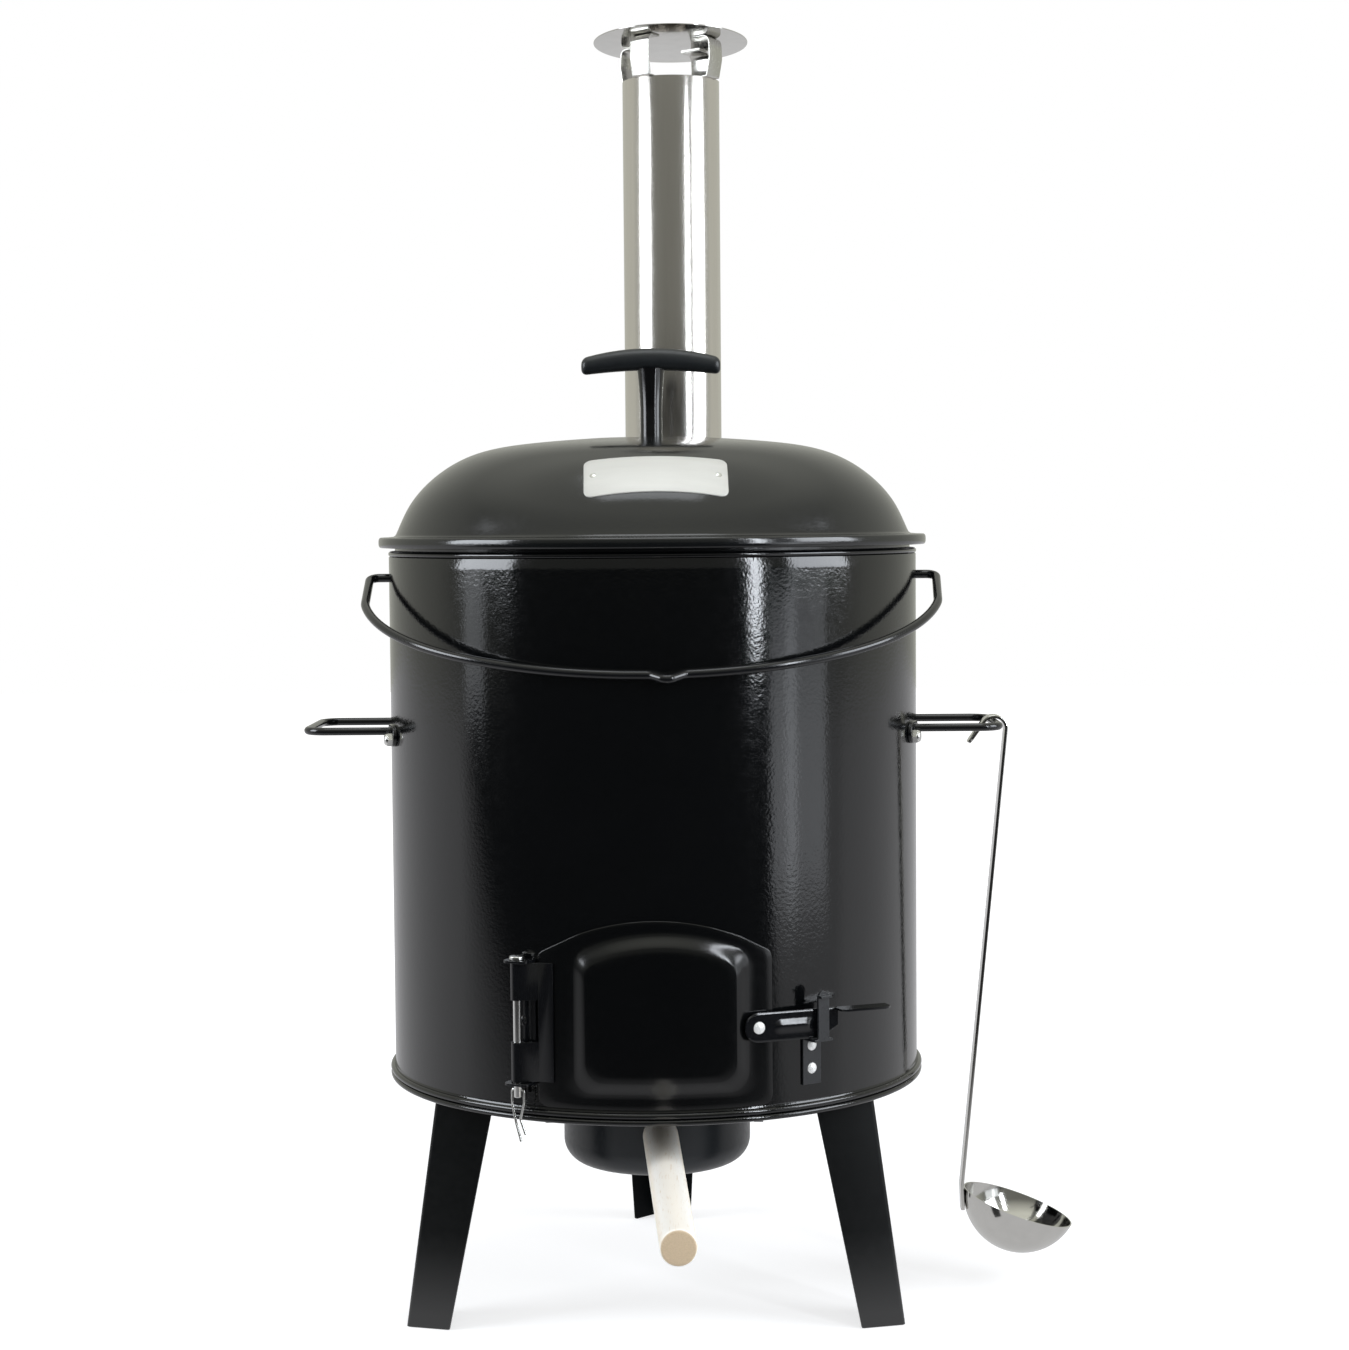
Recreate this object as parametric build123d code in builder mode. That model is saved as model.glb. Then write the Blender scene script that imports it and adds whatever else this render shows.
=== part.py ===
from build123d import *
import math
import os

os.makedirs("parts", exist_ok=True)

# Cauldron stove. Millimetres, +Z up. The origin is on the ground, on the axis of the round stove.
# The stoking door looks along -Y. A turn is an angle about the axis from the front towards +X.

# Stove body
shell_radius = 200.0
sheet = 1.2
floor_height = 172.2
floor_sheet = 1.5
shell_top = 565.0
bead_circle = 201.4
shell_bead = 2.3
floor_bead = 2.2
bead_gap = 0.05
ash_hole_radius = 62.0
overrun = 30.0
fit_gap = 0.05
seat_gap = 0.3

# Legs: folded angle profile, fold line outwards
front_leg_turn = 60.0
back_turn = 180.0
right_angle = 90.0
leg_sheet = 2.5
leg_top_radius = 186.0
leg_foot_radius = 212.6
leg_top_width = 46.0
leg_foot_width = 34.0
leg_bolt_inset = 24.0
leg_bolt_half_pitch = 9.0
leg_bolt_radius = 3.0
bolt_head_radius = 5.8
bolt_head_height = 4.0
bolt_tail = 2.0

# Grate and ash pan
grate_radius = 92.0
grate_thickness = 6.0
grate_rim = 12.0
grate_bar = 8.0
grate_slot = 9.0
pan_radius = 71.75
pan_sheet = 1.2
pan_bottom = 99.0
pan_corner = 18.0
pan_rim_height = 151.6
pan_rim = 6.5
pan_turn = 3.2
rail_sheet = 1.5
rail_lip = 7.0
rail_flange = 14.0
rail_length = 190.0
rail_rivet_half_pitch = 70.0
rail_rivet_radius = 2.0
dowel_root_radius = 13.2
dowel_end_radius = 12.2
dowel_reach = 372.0
dowel_height = 132.8
dowel_chamfer = 1.6
dowel_screw_radius = 2.5
dowel_screw_head_radius = 5.5
dowel_screw_head = 3.0
dowel_screw_length = 42.0

# Stoking door
door_turn = 0.95
door_half_width = 82.0
door_bottom = 181.6
door_shoulder = 290.0
door_peak = 314.4
door_corner = 7.0
door_sheet = 1.5
door_gap = 0.3
door_lap = 7.5
panel_shift = 4.2
panel_half_width = 61.5
panel_bottom = 192.4
panel_shoulder = 291.0
panel_peak = 304.6
panel_corner = 13.0
panel_rise = 4.2
panel_slope = 9.0
panel_edge = 0.6

# Door hinge
hinge_turn = -26.5
hinge_radius = 209.0
pin_radius = 3.0
pin_clearance = 0.06
pin_head_radius = 5.3
pin_head_height = 2.8
pin_tail = 9.0
ear_low = 197.4
ear_high = 285.6
ear_sheet = 1.8
ear_left = 8.5
ear_right = 10.6
ear_front = 6.5
ear_corner = 4.0
hinge_rivet_half_pitch = 32.0
hinge_rivet_radius = 2.0
leaf_sheet = 1.6
leaf_gap = 0.35
leaf_flange = 11.0
leaf_turn = -21.1
leaf_cut_low = 227.6
leaf_cut_high = 257.3
clip_wire = 0.9
clip_half_width = 4.8
clip_hole_drop = 3.2
clip_length = 37.0

# Latch
latch_turn = 21.5
latch_height = 237.5
latch_spacer = 3.4
spacer_radius = 5.4
lever_sheet = 1.6
lever_half_height = 10.4
lever_end_half_height = 6.5
lever_reach = 60.0
tab_start = 58.0
tab_end = 97.0
tab_depth = 14.0
tab_corner = 6.0
rib_start = 14.0
rib_end = 38.0
rib_radius = 3.4
rib_rise = 1.2
latch_rivet_radius = 2.5
latch_rivet_head = 4.3
latch_rivet_head_height = 1.9
catch_turn = 34.2
catch_sheet = 1.8
catch_half_width = 7.8
catch_bottom = 192.4
finger_half_width = 4.7
finger_face = 214.2
finger_top = 256.0
finger_lip = 3.6
catch_rivet_drop_high = 6.5
catch_rivet_drop_low = 23.0
rivet_head_radius = 3.9
rivet_head_height = 1.6
small_rivet_head_radius = 3.4
small_rivet_head_height = 1.3

# Side handles
handle_height = 435.0
handle_wire = 3.0
handle_reach = 260.0
handle_half_width = 48.0
handle_bend = 15.0
foot_turn = 75.0
foot_half_length = 6.0
foot_half_height = 8.0
foot_sheet = 2.5
foot_bolt_offset = 6.0
foot_bolt_drop = 5.5
handle_bolt_radius = 2.5
cap_nut_radius = 5.4
cap_nut_hex = 3.4
cap_nut_dome = 4.4
wall_head_height = 3.0

# Flue elbow and chimney
flue_turn = 176.9
flue_height = 458.0
chimney_distance = 252.0
elbow_bend = 45.0
elbow_radius = 39.8
elbow_sheet = 1.2
elbow_start_depth = 6.0
spigot_length = 90.0
stop_ring_drop = 40.0
stop_ring_width = 3.2
stop_ring_thickness = 3.0
collar_radius = 58.0
collar_sheet = 1.5
collar_rivet_circle = 50.0
collar_rivet_radius = 2.0
chimney_clearance = 0.3
chimney_sheet = 1.0
chimney_top = 962.0
cap_disc_radius = 65.3
cap_disc_sheet = 1.0
cap_height = 994.5
cap_tilt = 4.0
cap_strap_turn = -34.0
cap_strap_count = 4
cap_strap_width = 19.0
cap_strap_sheet = 1.0
cap_strap_outset = 1.2
cap_strap_insert = 16.0
cap_tab_length = 14.0
cap_strap_clearance = 0.5

# Pot, lugs and bail
pot_radius = 183.0
pot_sheet = 1.2
pot_bottom = 352.0
pot_corner = 42.0
pot_rim_sheet = 2.0
pot_rim_radius = 198.2
pot_bead = 2.1
bail_height = 548.5
bail_wire = 3.25
bail_clearance = 0.06
lug_sheet = 2.0
lug_web_radius = 195.0
lug_half_height = 11.0
lug_web_half_width = 11.0
lug_foot_half_width = 23.0
lug_rivet_offset = 17.0
lug_rivet_radius = 2.0
slot_half_width = 6.0
bail_pin_end = 188.5
bail_half_width = 216.0
bail_end_bend = 7.0
bail_shoulder_half_width = 212.3
bail_shoulder_bend = 12.0
bail_shoulder_radius = 177.0
bail_crown_radius = 254.0
bail_crown_angle = 59.4
bail_hang_angle = 17.3
bail_rest_gap = 0.35
notch_offset = 14.0
notch_half_width = 12.0
notch_depth = 10.6
notch_bend = 6.0
notch_mouth_bend = 9.0

# Lid
lid_sheet = 1.5
lid_top = 653.0
lid_recess_radius = 45.0
lid_recess_depth = 2.6
lid_recess_edge_radius = 47.5
lid_crown_radius = 95.0
lid_crown_drop = 3.8
lid_knee_radius = 137.0
lid_knee_drop = 8.8
lid_haunch_radius = 167.0
lid_haunch_drop = 18.3
lid_side_radius = 183.0
lid_side_drop = 17.3
lid_foot_radius = 191.4
lid_foot_drop = 18.8
lid_flare_drop = 5.0
brim_radius = 205.4
brim_drop = 4.6
brim_bead = 2.2
brim_join = 1.4
band_radius = 195.4
band_sheet = 1.4
band_gap = 0.1

# Lid handle and bare plate
stem_radius = 8.3
stem_top_radius = 10.5
stem_flare_rise = 21.0
bar_rise_above_lid = 60.0
bar_droop = 5.4
bar_half_length = 52.8
bar_depth = 9.5
bar_rise = 8.4
bar_end_fillet = 3.6
stem_screw_radius = 3.0
stem_screw_cover = 7.0
stem_screw_head_radius = 6.0
stem_screw_head = 4.0
stem_washer_radius = 10.0
stem_washer_sheet = 1.6
plate_turn = 2.2
plate_width = 101.0
plate_height = 47.0
plate_corner = 6.0
plate_sheet = 0.8
plate_centre_radius = 163.5
plate_centre_drop = 29.4
plate_slope = 38.6
plate_rivet_half_pitch = 44.0
plate_rivet_radius = 1.6
plate_rivet_head_radius = 2.9
plate_rivet_head_height = 1.0

# Ladle, hung over the outer bar of the right handle
hook_radius = 8.0
hook_gap = 0.3
strap_sheet = 2.5
strap_half_width = 7.5
strap_length = 354.0
strap_end_length = 20.0
strap_end_lean = 7.7
strap_bend = 12.0
hook_tip_length = 20.0
strap_end_corner = 5.0
hook_tip_angle = 30.0
ladle_lean = 5.5
bowl_radius = 44.3
bowl_depth = 36.0
bowl_sheet = 1.0
bowl_tilt = 13.1


def outward(turn):
    """Unit vector that points away from the axis at a turn."""
    return Vector(math.sin(math.radians(turn)), -math.cos(math.radians(turn)), 0)


def around(radius, turn, height):
    """Point at a radius, turn and height."""
    return outward(turn) * radius + Vector(0, 0, height)


def wall_plane(radius, turn, height):
    """Plane that faces outwards: x runs right along the wall, y runs up."""
    tangent = outward(turn + right_angle)
    return Plane(origin=around(radius, turn, height), x_dir=tangent, z_dir=outward(turn))


def level_plane(radius, turn, height):
    """Horizontal plane: x runs right along the wall, y runs inwards to the axis."""
    return Plane(origin=around(radius, turn, height), x_dir=outward(turn + right_angle), z_dir=(0, 0, 1))


def spoke_plane(turn, height):
    """Horizontal plane on the axis: x runs outwards at a turn."""
    return Plane(origin=(0, 0, height), x_dir=outward(turn), z_dir=(0, 0, 1))


def ring(inner, outer, low, high):
    """Plain upright ring about the stove's axis."""
    with BuildPart() as band:
        with BuildSketch(Plane.XY.offset(low)):
            Circle(outer)
            if inner > 0:
                Circle(inner, mode=Mode.SUBTRACT)
        extrude(amount=high - low)
    return band.part


def arched_outline(half_width, bottom, shoulder, peak, corner):
    """Door shape: straight foot and sides, arched head, rounded corners."""
    with BuildSketch() as outline:
        with BuildLine():
            foot = Line((-half_width, bottom), (half_width, bottom))
            side = Line(foot @ 1, (half_width, shoulder))
            head = ThreePointArc(side @ 1, (0, peak), (-half_width, shoulder))
            Line(head @ 1, foot @ 0)
        make_face()
        fillet(outline.vertices(), radius=corner)
    return outline.sketch


def rivet(head_radius, head_height, shank_radius, grip):
    """Domed head above z 0, shank and flat tail head below the grip."""
    with BuildPart() as body:
        with BuildSketch(Plane.XZ):
            with BuildLine():
                base = Line((0, 0), (0, head_height))
                dome = RadiusArc(
                    base @ 1,
                    (head_radius, 0),
                    (head_radius**2 + head_height**2) / (2 * head_height),
                )
                Line(dome @ 1, base @ 0)
            make_face()
        revolve(axis=Axis.Z)
        with BuildSketch(Plane.XY):
            Circle(shank_radius)
        extrude(amount=-grip)
        with BuildSketch(Plane.XY.offset(-grip)):
            Circle((head_radius + shank_radius) / 2)
        extrude(amount=-head_height / 2)
    return body.part


def placed(shape, planes):
    """Copies of a shape made at the origin, one on each plane."""
    return [plane.location * shape for plane in planes]


# Stove shell: rolled sheet with a door opening, a flue hole and two slots for the bail's ends
shell_floor = floor_height + floor_sheet
floor_bead_height = floor_height + floor_sheet / 2
shell_bead_height = floor_bead_height + floor_bead + bead_gap + shell_bead
door_inner = shell_radius + door_gap
door_outer = door_inner + door_sheet
foot_turns = [side * bend for side in (-1, 1) for bend in (foot_turn, back_turn - foot_turn)]


def foot_bolt_plane(turn, radius):
    """Place of a handle bolt in its foot's plane: beside the wire and a little below it."""
    away = math.copysign(foot_bolt_offset, turn) * (-1 if abs(turn) < right_angle else 1)
    foot_plane = wall_plane(radius, turn, handle_height)
    return Plane(
        origin=foot_plane.from_local_coords(Vector(away, -foot_bolt_drop)),
        x_dir=foot_plane.x_dir,
        z_dir=foot_plane.z_dir,
    )


handle_bolt_planes = [foot_bolt_plane(turn, shell_radius) for turn in foot_turns]
hinge_middle = (ear_low + ear_high) / 2
hinge_rivet_planes = [
    wall_plane(shell_radius + ear_sheet, hinge_turn, hinge_middle + side * hinge_rivet_half_pitch)
    for side in (-1, 0, 1)
]
shelf_top = latch_height - lever_half_height - seat_gap
catch_rivet_planes = [
    wall_plane(shell_radius + catch_sheet, catch_turn, shelf_top - drop)
    for drop in (catch_rivet_drop_high, catch_rivet_drop_low)
]
flue_axis = wall_plane(0, flue_turn, flue_height)
collar_rivet_angles = [45, 135, 225, 315]


def collar_rivet_plane(angle):
    """Place of a collar rivet on the curved collar, square to the wall."""
    across = collar_rivet_circle * math.cos(math.radians(angle))
    turn = flue_turn + math.degrees(math.asin(across / shell_radius))
    height = flue_height + collar_rivet_circle * math.sin(math.radians(angle))
    return wall_plane(shell_radius + collar_sheet, turn, height)


collar_rivet_planes = [collar_rivet_plane(angle) for angle in collar_rivet_angles]
shell_bottom = floor_bead_height + floor_bead + bead_gap

with BuildPart() as stove_shell:
    with BuildSketch(Plane.XZ):
        with Locations((shell_radius - sheet / 2, (shell_bottom + shell_top) / 2)):
            Rectangle(sheet, shell_top - shell_bottom)
        with Locations((bead_circle, shell_bead_height)):
            Circle(shell_bead)
    revolve(axis=Axis.Z)
    with BuildSketch(wall_plane(0, door_turn, 0)):
        add(
            arched_outline(
                door_half_width - door_lap,
                door_bottom + door_lap,
                door_shoulder - door_lap,
                door_peak - door_lap,
                door_corner,
            )
        )
    extrude(amount=shell_radius + overrun, mode=Mode.SUBTRACT)
    with BuildSketch(flue_axis):
        Circle(elbow_radius + fit_gap)
    extrude(amount=shell_radius + overrun, mode=Mode.SUBTRACT)
    for slot_turn in (-right_angle, right_angle):
        with BuildSketch(wall_plane(0, slot_turn, bail_height)):
            Circle(slot_half_width)
            with Locations((0, overrun / 2)):
                Rectangle(2 * slot_half_width, overrun)
        extrude(amount=shell_radius + overrun, mode=Mode.SUBTRACT)
    for hole_planes, hole_radius in (
        (handle_bolt_planes, handle_bolt_radius),
        (hinge_rivet_planes, hinge_rivet_radius),
        (catch_rivet_planes, hinge_rivet_radius),
        (collar_rivet_planes, collar_rivet_radius),
    ):
        for hole_plane in hole_planes:
            with BuildSketch(hole_plane):
                Circle(hole_radius + fit_gap)
            extrude(amount=overrun, both=True, mode=Mode.SUBTRACT)
stove_shell.part.label = "stove_shell"
export_step(stove_shell.part, "parts/stove_shell.step")

# Floor pan: a disc with a seamed edge and a round hole that lets the ash fall
leg_turns = {
    "leg_front_left": -front_leg_turn,
    "leg_front_right": front_leg_turn,
    "leg_rear": back_turn,
}
leg_turn_values = list(leg_turns.values())
leg_bolt_radius_place = leg_top_radius - leg_bolt_inset


def leg_bolt_points():
    """Bolt places in a leg's own spoke plane."""
    return [(leg_bolt_radius_place, side * leg_bolt_half_pitch) for side in (-1, 1)]


rail_web = pan_radius + pan_rim + seat_gap + rail_sheet
rail_rivet_x = rail_web + rail_flange / 2
rail_rivet_points = [
    (side * rail_rivet_x, along * rail_rivet_half_pitch) for side in (-1, 1) for along in (-1, 1)
]

with BuildPart() as floor_pan:
    with BuildSketch(Plane.XZ):
        with Locations(((ash_hole_radius + bead_circle) / 2, floor_bead_height)):
            Rectangle(bead_circle - ash_hole_radius, floor_sheet)
        with Locations((bead_circle, floor_bead_height)):
            Circle(floor_bead)
    revolve(axis=Axis.Z)
    for turn in leg_turn_values:
        with BuildSketch(spoke_plane(turn, floor_height)):
            with Locations(*leg_bolt_points()):
                Circle(leg_bolt_radius + fit_gap)
        extrude(amount=overrun, both=True, mode=Mode.SUBTRACT)
    with BuildSketch(Plane.XY.offset(floor_height)):
        with Locations(*rail_rivet_points):
            Circle(rail_rivet_radius + fit_gap)
    extrude(amount=overrun, both=True, mode=Mode.SUBTRACT)
floor_pan.part.label = "floor_pan"
export_step(floor_pan.part, "parts/floor_pan.step")

# Legs: tapered angle profiles with a top flange that bolts under the floor pan
fold = math.cos(math.radians(45))


def leg_section(corner_radius, width):
    """Angle profile in a spoke plane, fold line at the corner radius."""
    tip = width * fold
    wall = leg_sheet * fold
    inner = corner_radius - 2 * wall
    return Polygon(
        (corner_radius, 0),
        (corner_radius - tip, tip),
        (corner_radius - tip - wall, tip - wall),
        (inner, 0),
        (corner_radius - tip - wall, wall - tip),
        (corner_radius - tip, -tip),
        align=None,
        mode=Mode.PRIVATE,
    )


for leg_name, turn in leg_turns.items():
    with BuildPart() as leg:
        with BuildSketch(spoke_plane(turn, 0)):
            add(leg_section(leg_foot_radius, leg_foot_width))
        with BuildSketch(spoke_plane(turn, floor_height)):
            add(leg_section(leg_top_radius, leg_top_width))
        loft(ruled=True)
        with BuildSketch(spoke_plane(turn, floor_height - leg_sheet)):
            reach = (leg_top_width - leg_sheet) * fold
            Polygon(
                (leg_top_radius - leg_sheet * fold, 0),
                (leg_top_radius - leg_sheet * fold - reach, reach),
                (leg_top_radius - leg_sheet * fold - reach, -reach),
                align=None,
            )
        extrude(amount=leg_sheet)
        with BuildSketch(spoke_plane(turn, floor_height)):
            with Locations(*leg_bolt_points()):
                Circle(leg_bolt_radius + fit_gap)
        extrude(amount=-2 * leg_sheet, mode=Mode.SUBTRACT)
    leg.part.label = leg_name
    export_step(leg.part, f"parts/{leg_name}.step")

# Leg bolts, heads inside the fire box, and their nuts under the legs
with BuildPart() as leg_bolts:
    for turn in leg_turn_values:
        with BuildSketch(spoke_plane(turn, shell_floor)):
            with Locations(*leg_bolt_points()):
                RegularPolygon(bolt_head_radius, 6)
        extrude(amount=bolt_head_height)
        with BuildSketch(spoke_plane(turn, shell_floor)):
            with Locations(*leg_bolt_points()):
                Circle(leg_bolt_radius)
        extrude(amount=-(floor_sheet + leg_sheet + bolt_head_height + bolt_tail))
leg_bolts.part.label = "leg_bolts"
export_step(leg_bolts.part, "parts/leg_bolts.step")

with BuildPart() as leg_nuts:
    for turn in leg_turn_values:
        with BuildSketch(spoke_plane(turn, floor_height - leg_sheet)):
            with Locations(*leg_bolt_points()):
                RegularPolygon(bolt_head_radius, 6)
                Circle(leg_bolt_radius + fit_gap, mode=Mode.SUBTRACT)
        extrude(amount=-bolt_head_height)
leg_nuts.part.label = "leg_nuts"
export_step(leg_nuts.part, "parts/leg_nuts.step")

# Fire grate: a cast disc with straight slots, laid over the ash hole
slot_pitch = grate_bar + grate_slot
slot_reach = grate_radius - grate_rim
slot_count = 2 * math.floor(slot_reach / slot_pitch) + 1
with BuildPart() as fire_grate:
    with BuildSketch(Plane.XY.offset(shell_floor)):
        Circle(grate_radius)
        for index in range(slot_count):
            across = (index - (slot_count - 1) / 2) * slot_pitch
            edge = abs(across) + grate_slot / 2
            if edge < slot_reach - grate_slot:
                with Locations((across, 0)):
                    SlotOverall(
                        2 * math.sqrt(slot_reach**2 - edge**2),
                        grate_slot,
                        rotation=right_angle,
                        mode=Mode.SUBTRACT,
                    )
    extrude(amount=grate_thickness)
fire_grate.part.label = "fire_grate"
export_step(fire_grate.part, "parts/fire_grate.step")

# Ash pan rails: folded runners under the floor pan that carry the pan's rim
lip_top = pan_rim_height - pan_sheet - seat_gap
with BuildPart() as pan_rails:
    for side in (-1, 1):
        with BuildSketch(Plane.XZ):
            with Locations((side * (rail_web - rail_sheet / 2), (lip_top - rail_sheet + floor_height) / 2)):
                Rectangle(rail_sheet, floor_height - lip_top + rail_sheet)
            with Locations((side * (rail_web - rail_lip / 2), lip_top - rail_sheet / 2)):
                Rectangle(rail_lip, rail_sheet)
            with Locations((side * (rail_web + rail_flange / 2), floor_height - rail_sheet / 2)):
                Rectangle(rail_flange, rail_sheet)
        extrude(amount=rail_length / 2, both=True)
    with BuildSketch(Plane.XY.offset(floor_height)):
        with Locations(*rail_rivet_points):
            Circle(rail_rivet_radius + fit_gap)
    extrude(amount=-2 * rail_sheet, mode=Mode.SUBTRACT)
pan_rails.part.label = "pan_rails"
export_step(pan_rails.part, "parts/pan_rails.step")

rail_rivet = rivet(
    small_rivet_head_radius, small_rivet_head_height, rail_rivet_radius, floor_sheet + rail_sheet
)
with BuildPart() as rail_rivets:
    add(placed(rail_rivet, [Plane(origin=(x, y, shell_floor)) for x, y in rail_rivet_points]))
rail_rivets.part.label = "rail_rivets"
export_step(rail_rivets.part, "parts/rail_rivets.step")

# Ash pan: deep drawn round pan that hangs by its rim on the rails
with BuildPart() as ash_pan:
    with BuildSketch(Plane.XZ):
        with BuildLine() as pan_line:
            pan_base = Line((0, pan_bottom), (pan_radius - pan_corner, pan_bottom))
            pan_bend = TangentArc(
                pan_base @ 1, (pan_radius, pan_bottom + pan_corner), tangent=pan_base % 1
            )
            pan_wall = Line(pan_bend @ 1, (pan_radius, pan_rim_height - pan_sheet))
            pan_lip = Line(pan_wall @ 1, (pan_radius + pan_rim, pan_rim_height - pan_sheet))
            Line(pan_lip @ 1, (pan_radius + pan_rim, pan_rim_height))
            Line((pan_radius + pan_rim, pan_rim_height), (pan_radius - pan_sheet, pan_rim_height))
            inner_wall = Line(
                (pan_radius - pan_sheet, pan_rim_height),
                (pan_radius - pan_sheet, pan_bottom + pan_corner),
            )
            inner_bend = TangentArc(
                inner_wall @ 1,
                (pan_radius - pan_corner, pan_bottom + pan_sheet),
                tangent=inner_wall % 1,
            )
            inner_base = Line(inner_bend @ 1, (0, pan_bottom + pan_sheet))
            Line(inner_base @ 1, pan_base @ 0)
        make_face()
    revolve(axis=Axis.Z)
    with BuildSketch(wall_plane(0, pan_turn, dowel_height)):
        Circle(dowel_screw_radius + fit_gap)
    extrude(amount=pan_radius + overrun, mode=Mode.SUBTRACT)
ash_pan.part.label = "ash_pan"
export_step(ash_pan.part, "parts/ash_pan.step")

# Wooden handle: a beech dowel, its root scooped to sit on the pan's wall
with BuildPart() as pan_handle:
    with BuildSketch(wall_plane(pan_radius - pan_corner, pan_turn, dowel_height)):
        Circle(dowel_root_radius)
    with BuildSketch(wall_plane(dowel_reach, pan_turn, dowel_height)):
        Circle(dowel_end_radius)
    loft(ruled=True)
    chamfer(pan_handle.edges().sort_by(Axis.Y)[0], length=dowel_chamfer)
    add(ring(0, pan_radius + fit_gap, pan_bottom, pan_rim_height), mode=Mode.SUBTRACT)
    with BuildSketch(wall_plane(0, pan_turn, dowel_height)):
        Circle(dowel_screw_radius + fit_gap)
    extrude(amount=pan_radius + dowel_screw_length, mode=Mode.SUBTRACT)
pan_handle.part.label = "pan_handle"
export_step(pan_handle.part, "parts/pan_handle.step")

with BuildPart() as pan_handle_screw:
    with BuildSketch(wall_plane(pan_radius - pan_sheet - seat_gap, pan_turn, dowel_height)):
        Circle(dowel_screw_head_radius)
    extrude(amount=-dowel_screw_head)
    with BuildSketch(wall_plane(pan_radius - pan_sheet - seat_gap, pan_turn, dowel_height)):
        Circle(dowel_screw_radius)
    extrude(amount=dowel_screw_length)
pan_handle_screw.part.label = "pan_handle_screw"
export_step(pan_handle_screw.part, "parts/pan_handle_screw.step")

# Stoking door: a curved sheet that laps the opening, with a raised panel
with BuildPart() as panel_block:
    with BuildSketch(wall_plane(0, door_turn, 0)):
        with Locations((panel_shift, 0)):
            add(
                arched_outline(
                    panel_half_width, panel_bottom, panel_shoulder, panel_peak, panel_corner
                )
            )
    extrude(amount=shell_radius + overrun)
    add(ring(door_inner, door_outer + panel_rise, door_bottom, door_peak), mode=Mode.INTERSECT)
    front_face = panel_block.faces().sort_by(Axis((0, 0, 0), outward(door_turn)))[-1]
    chamfer(
        front_face.edges(),
        length=panel_slope,
        length2=panel_rise - panel_edge,
        reference=front_face,
    )

with BuildPart() as panel_pocket:
    with BuildSketch(wall_plane(0, door_turn, 0)):
        with Locations((panel_shift, 0)):
            add(
                arched_outline(
                    panel_half_width - panel_slope,
                    panel_bottom + panel_slope,
                    panel_shoulder - panel_slope,
                    panel_peak - panel_slope,
                    panel_corner,
                )
            )
    extrude(amount=shell_radius + overrun)
    add(
        ring(shell_radius - sheet, door_outer + panel_rise - door_sheet, door_bottom, door_peak),
        mode=Mode.INTERSECT,
    )

latch_face = door_outer + latch_spacer

with BuildPart() as door_panel:
    with BuildSketch(wall_plane(0, door_turn, 0)):
        add(arched_outline(door_half_width, door_bottom, door_shoulder, door_peak, door_corner))
    extrude(amount=shell_radius + overrun)
    add(ring(door_inner, door_outer, door_bottom, door_peak), mode=Mode.INTERSECT)
    add(panel_block.part)
    add(panel_pocket.part, mode=Mode.SUBTRACT)
    with BuildSketch(wall_plane(shell_radius, latch_turn, latch_height)):
        Circle(latch_rivet_radius + fit_gap)
    extrude(amount=overrun, mode=Mode.SUBTRACT)
door_panel.part.label = "door_panel"
export_step(door_panel.part, "parts/door_panel.step")

# Hinge bracket on the shell: a back plate with a thin ear above and below
with BuildPart() as hinge_bracket:
    plate_middle = (ear_right - ear_left) / 2
    plate_width_across = ear_right + ear_left
    with BuildSketch(wall_plane(shell_radius, hinge_turn, hinge_middle)):
        with Locations((plate_middle, 0)):
            Rectangle(plate_width_across, ear_high - ear_low)
    extrude(amount=ear_sheet)
    for ear_base in (ear_low, ear_high - ear_sheet):
        ear_depth = hinge_radius - shell_radius - ear_sheet + ear_front
        with BuildSketch(level_plane(hinge_radius, hinge_turn, ear_base)) as ear:
            with Locations((plate_middle, ear_depth / 2 - ear_front)):
                Rectangle(plate_width_across, ear_depth)
            fillet(ear.vertices().group_by(Axis.Y)[0], radius=ear_corner)
            Circle(pin_radius + pin_clearance, mode=Mode.SUBTRACT)
        extrude(amount=ear_sheet)
    for hole_plane in hinge_rivet_planes:
        with BuildSketch(hole_plane):
            Circle(hinge_rivet_radius + fit_gap)
        extrude(amount=-2 * ear_sheet, mode=Mode.SUBTRACT)
hinge_bracket.part.label = "hinge_bracket"
export_step(hinge_bracket.part, "parts/hinge_bracket.step")

hinge_rivet = rivet(
    small_rivet_head_radius, small_rivet_head_height, hinge_rivet_radius, ear_sheet + sheet + fit_gap
)
with BuildPart() as hinge_rivets:
    add(placed(hinge_rivet, hinge_rivet_planes))
hinge_rivets.part.label = "hinge_rivets"
export_step(hinge_rivets.part, "parts/hinge_rivets.step")

# Hinge leaf on the door: flange on the sheet, ramp, and two knuckles rolled round the pin
leaf_low = ear_low + ear_sheet + leaf_gap
leaf_high = ear_high - ear_sheet - leaf_gap
knuckle_bore = pin_radius + pin_clearance
knuckle_radius = knuckle_bore + leaf_sheet
flange_plane = wall_plane(door_outer + fit_gap, leaf_turn, (leaf_low + leaf_high) / 2)
hinge_level = level_plane(hinge_radius, hinge_turn, leaf_low)
flange_edge = hinge_level.to_local_coords(
    flange_plane.from_local_coords(Vector(-leaf_flange / 2, 0, leaf_sheet / 2))
)
ramp_radius = knuckle_radius - leaf_sheet / 2
edge_distance = math.hypot(flange_edge.X, flange_edge.Y)
ramp_angle = math.atan2(flange_edge.Y, flange_edge.X) - math.acos(ramp_radius / edge_distance)
ramp_start = (ramp_radius * math.cos(ramp_angle), ramp_radius * math.sin(ramp_angle))

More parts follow.
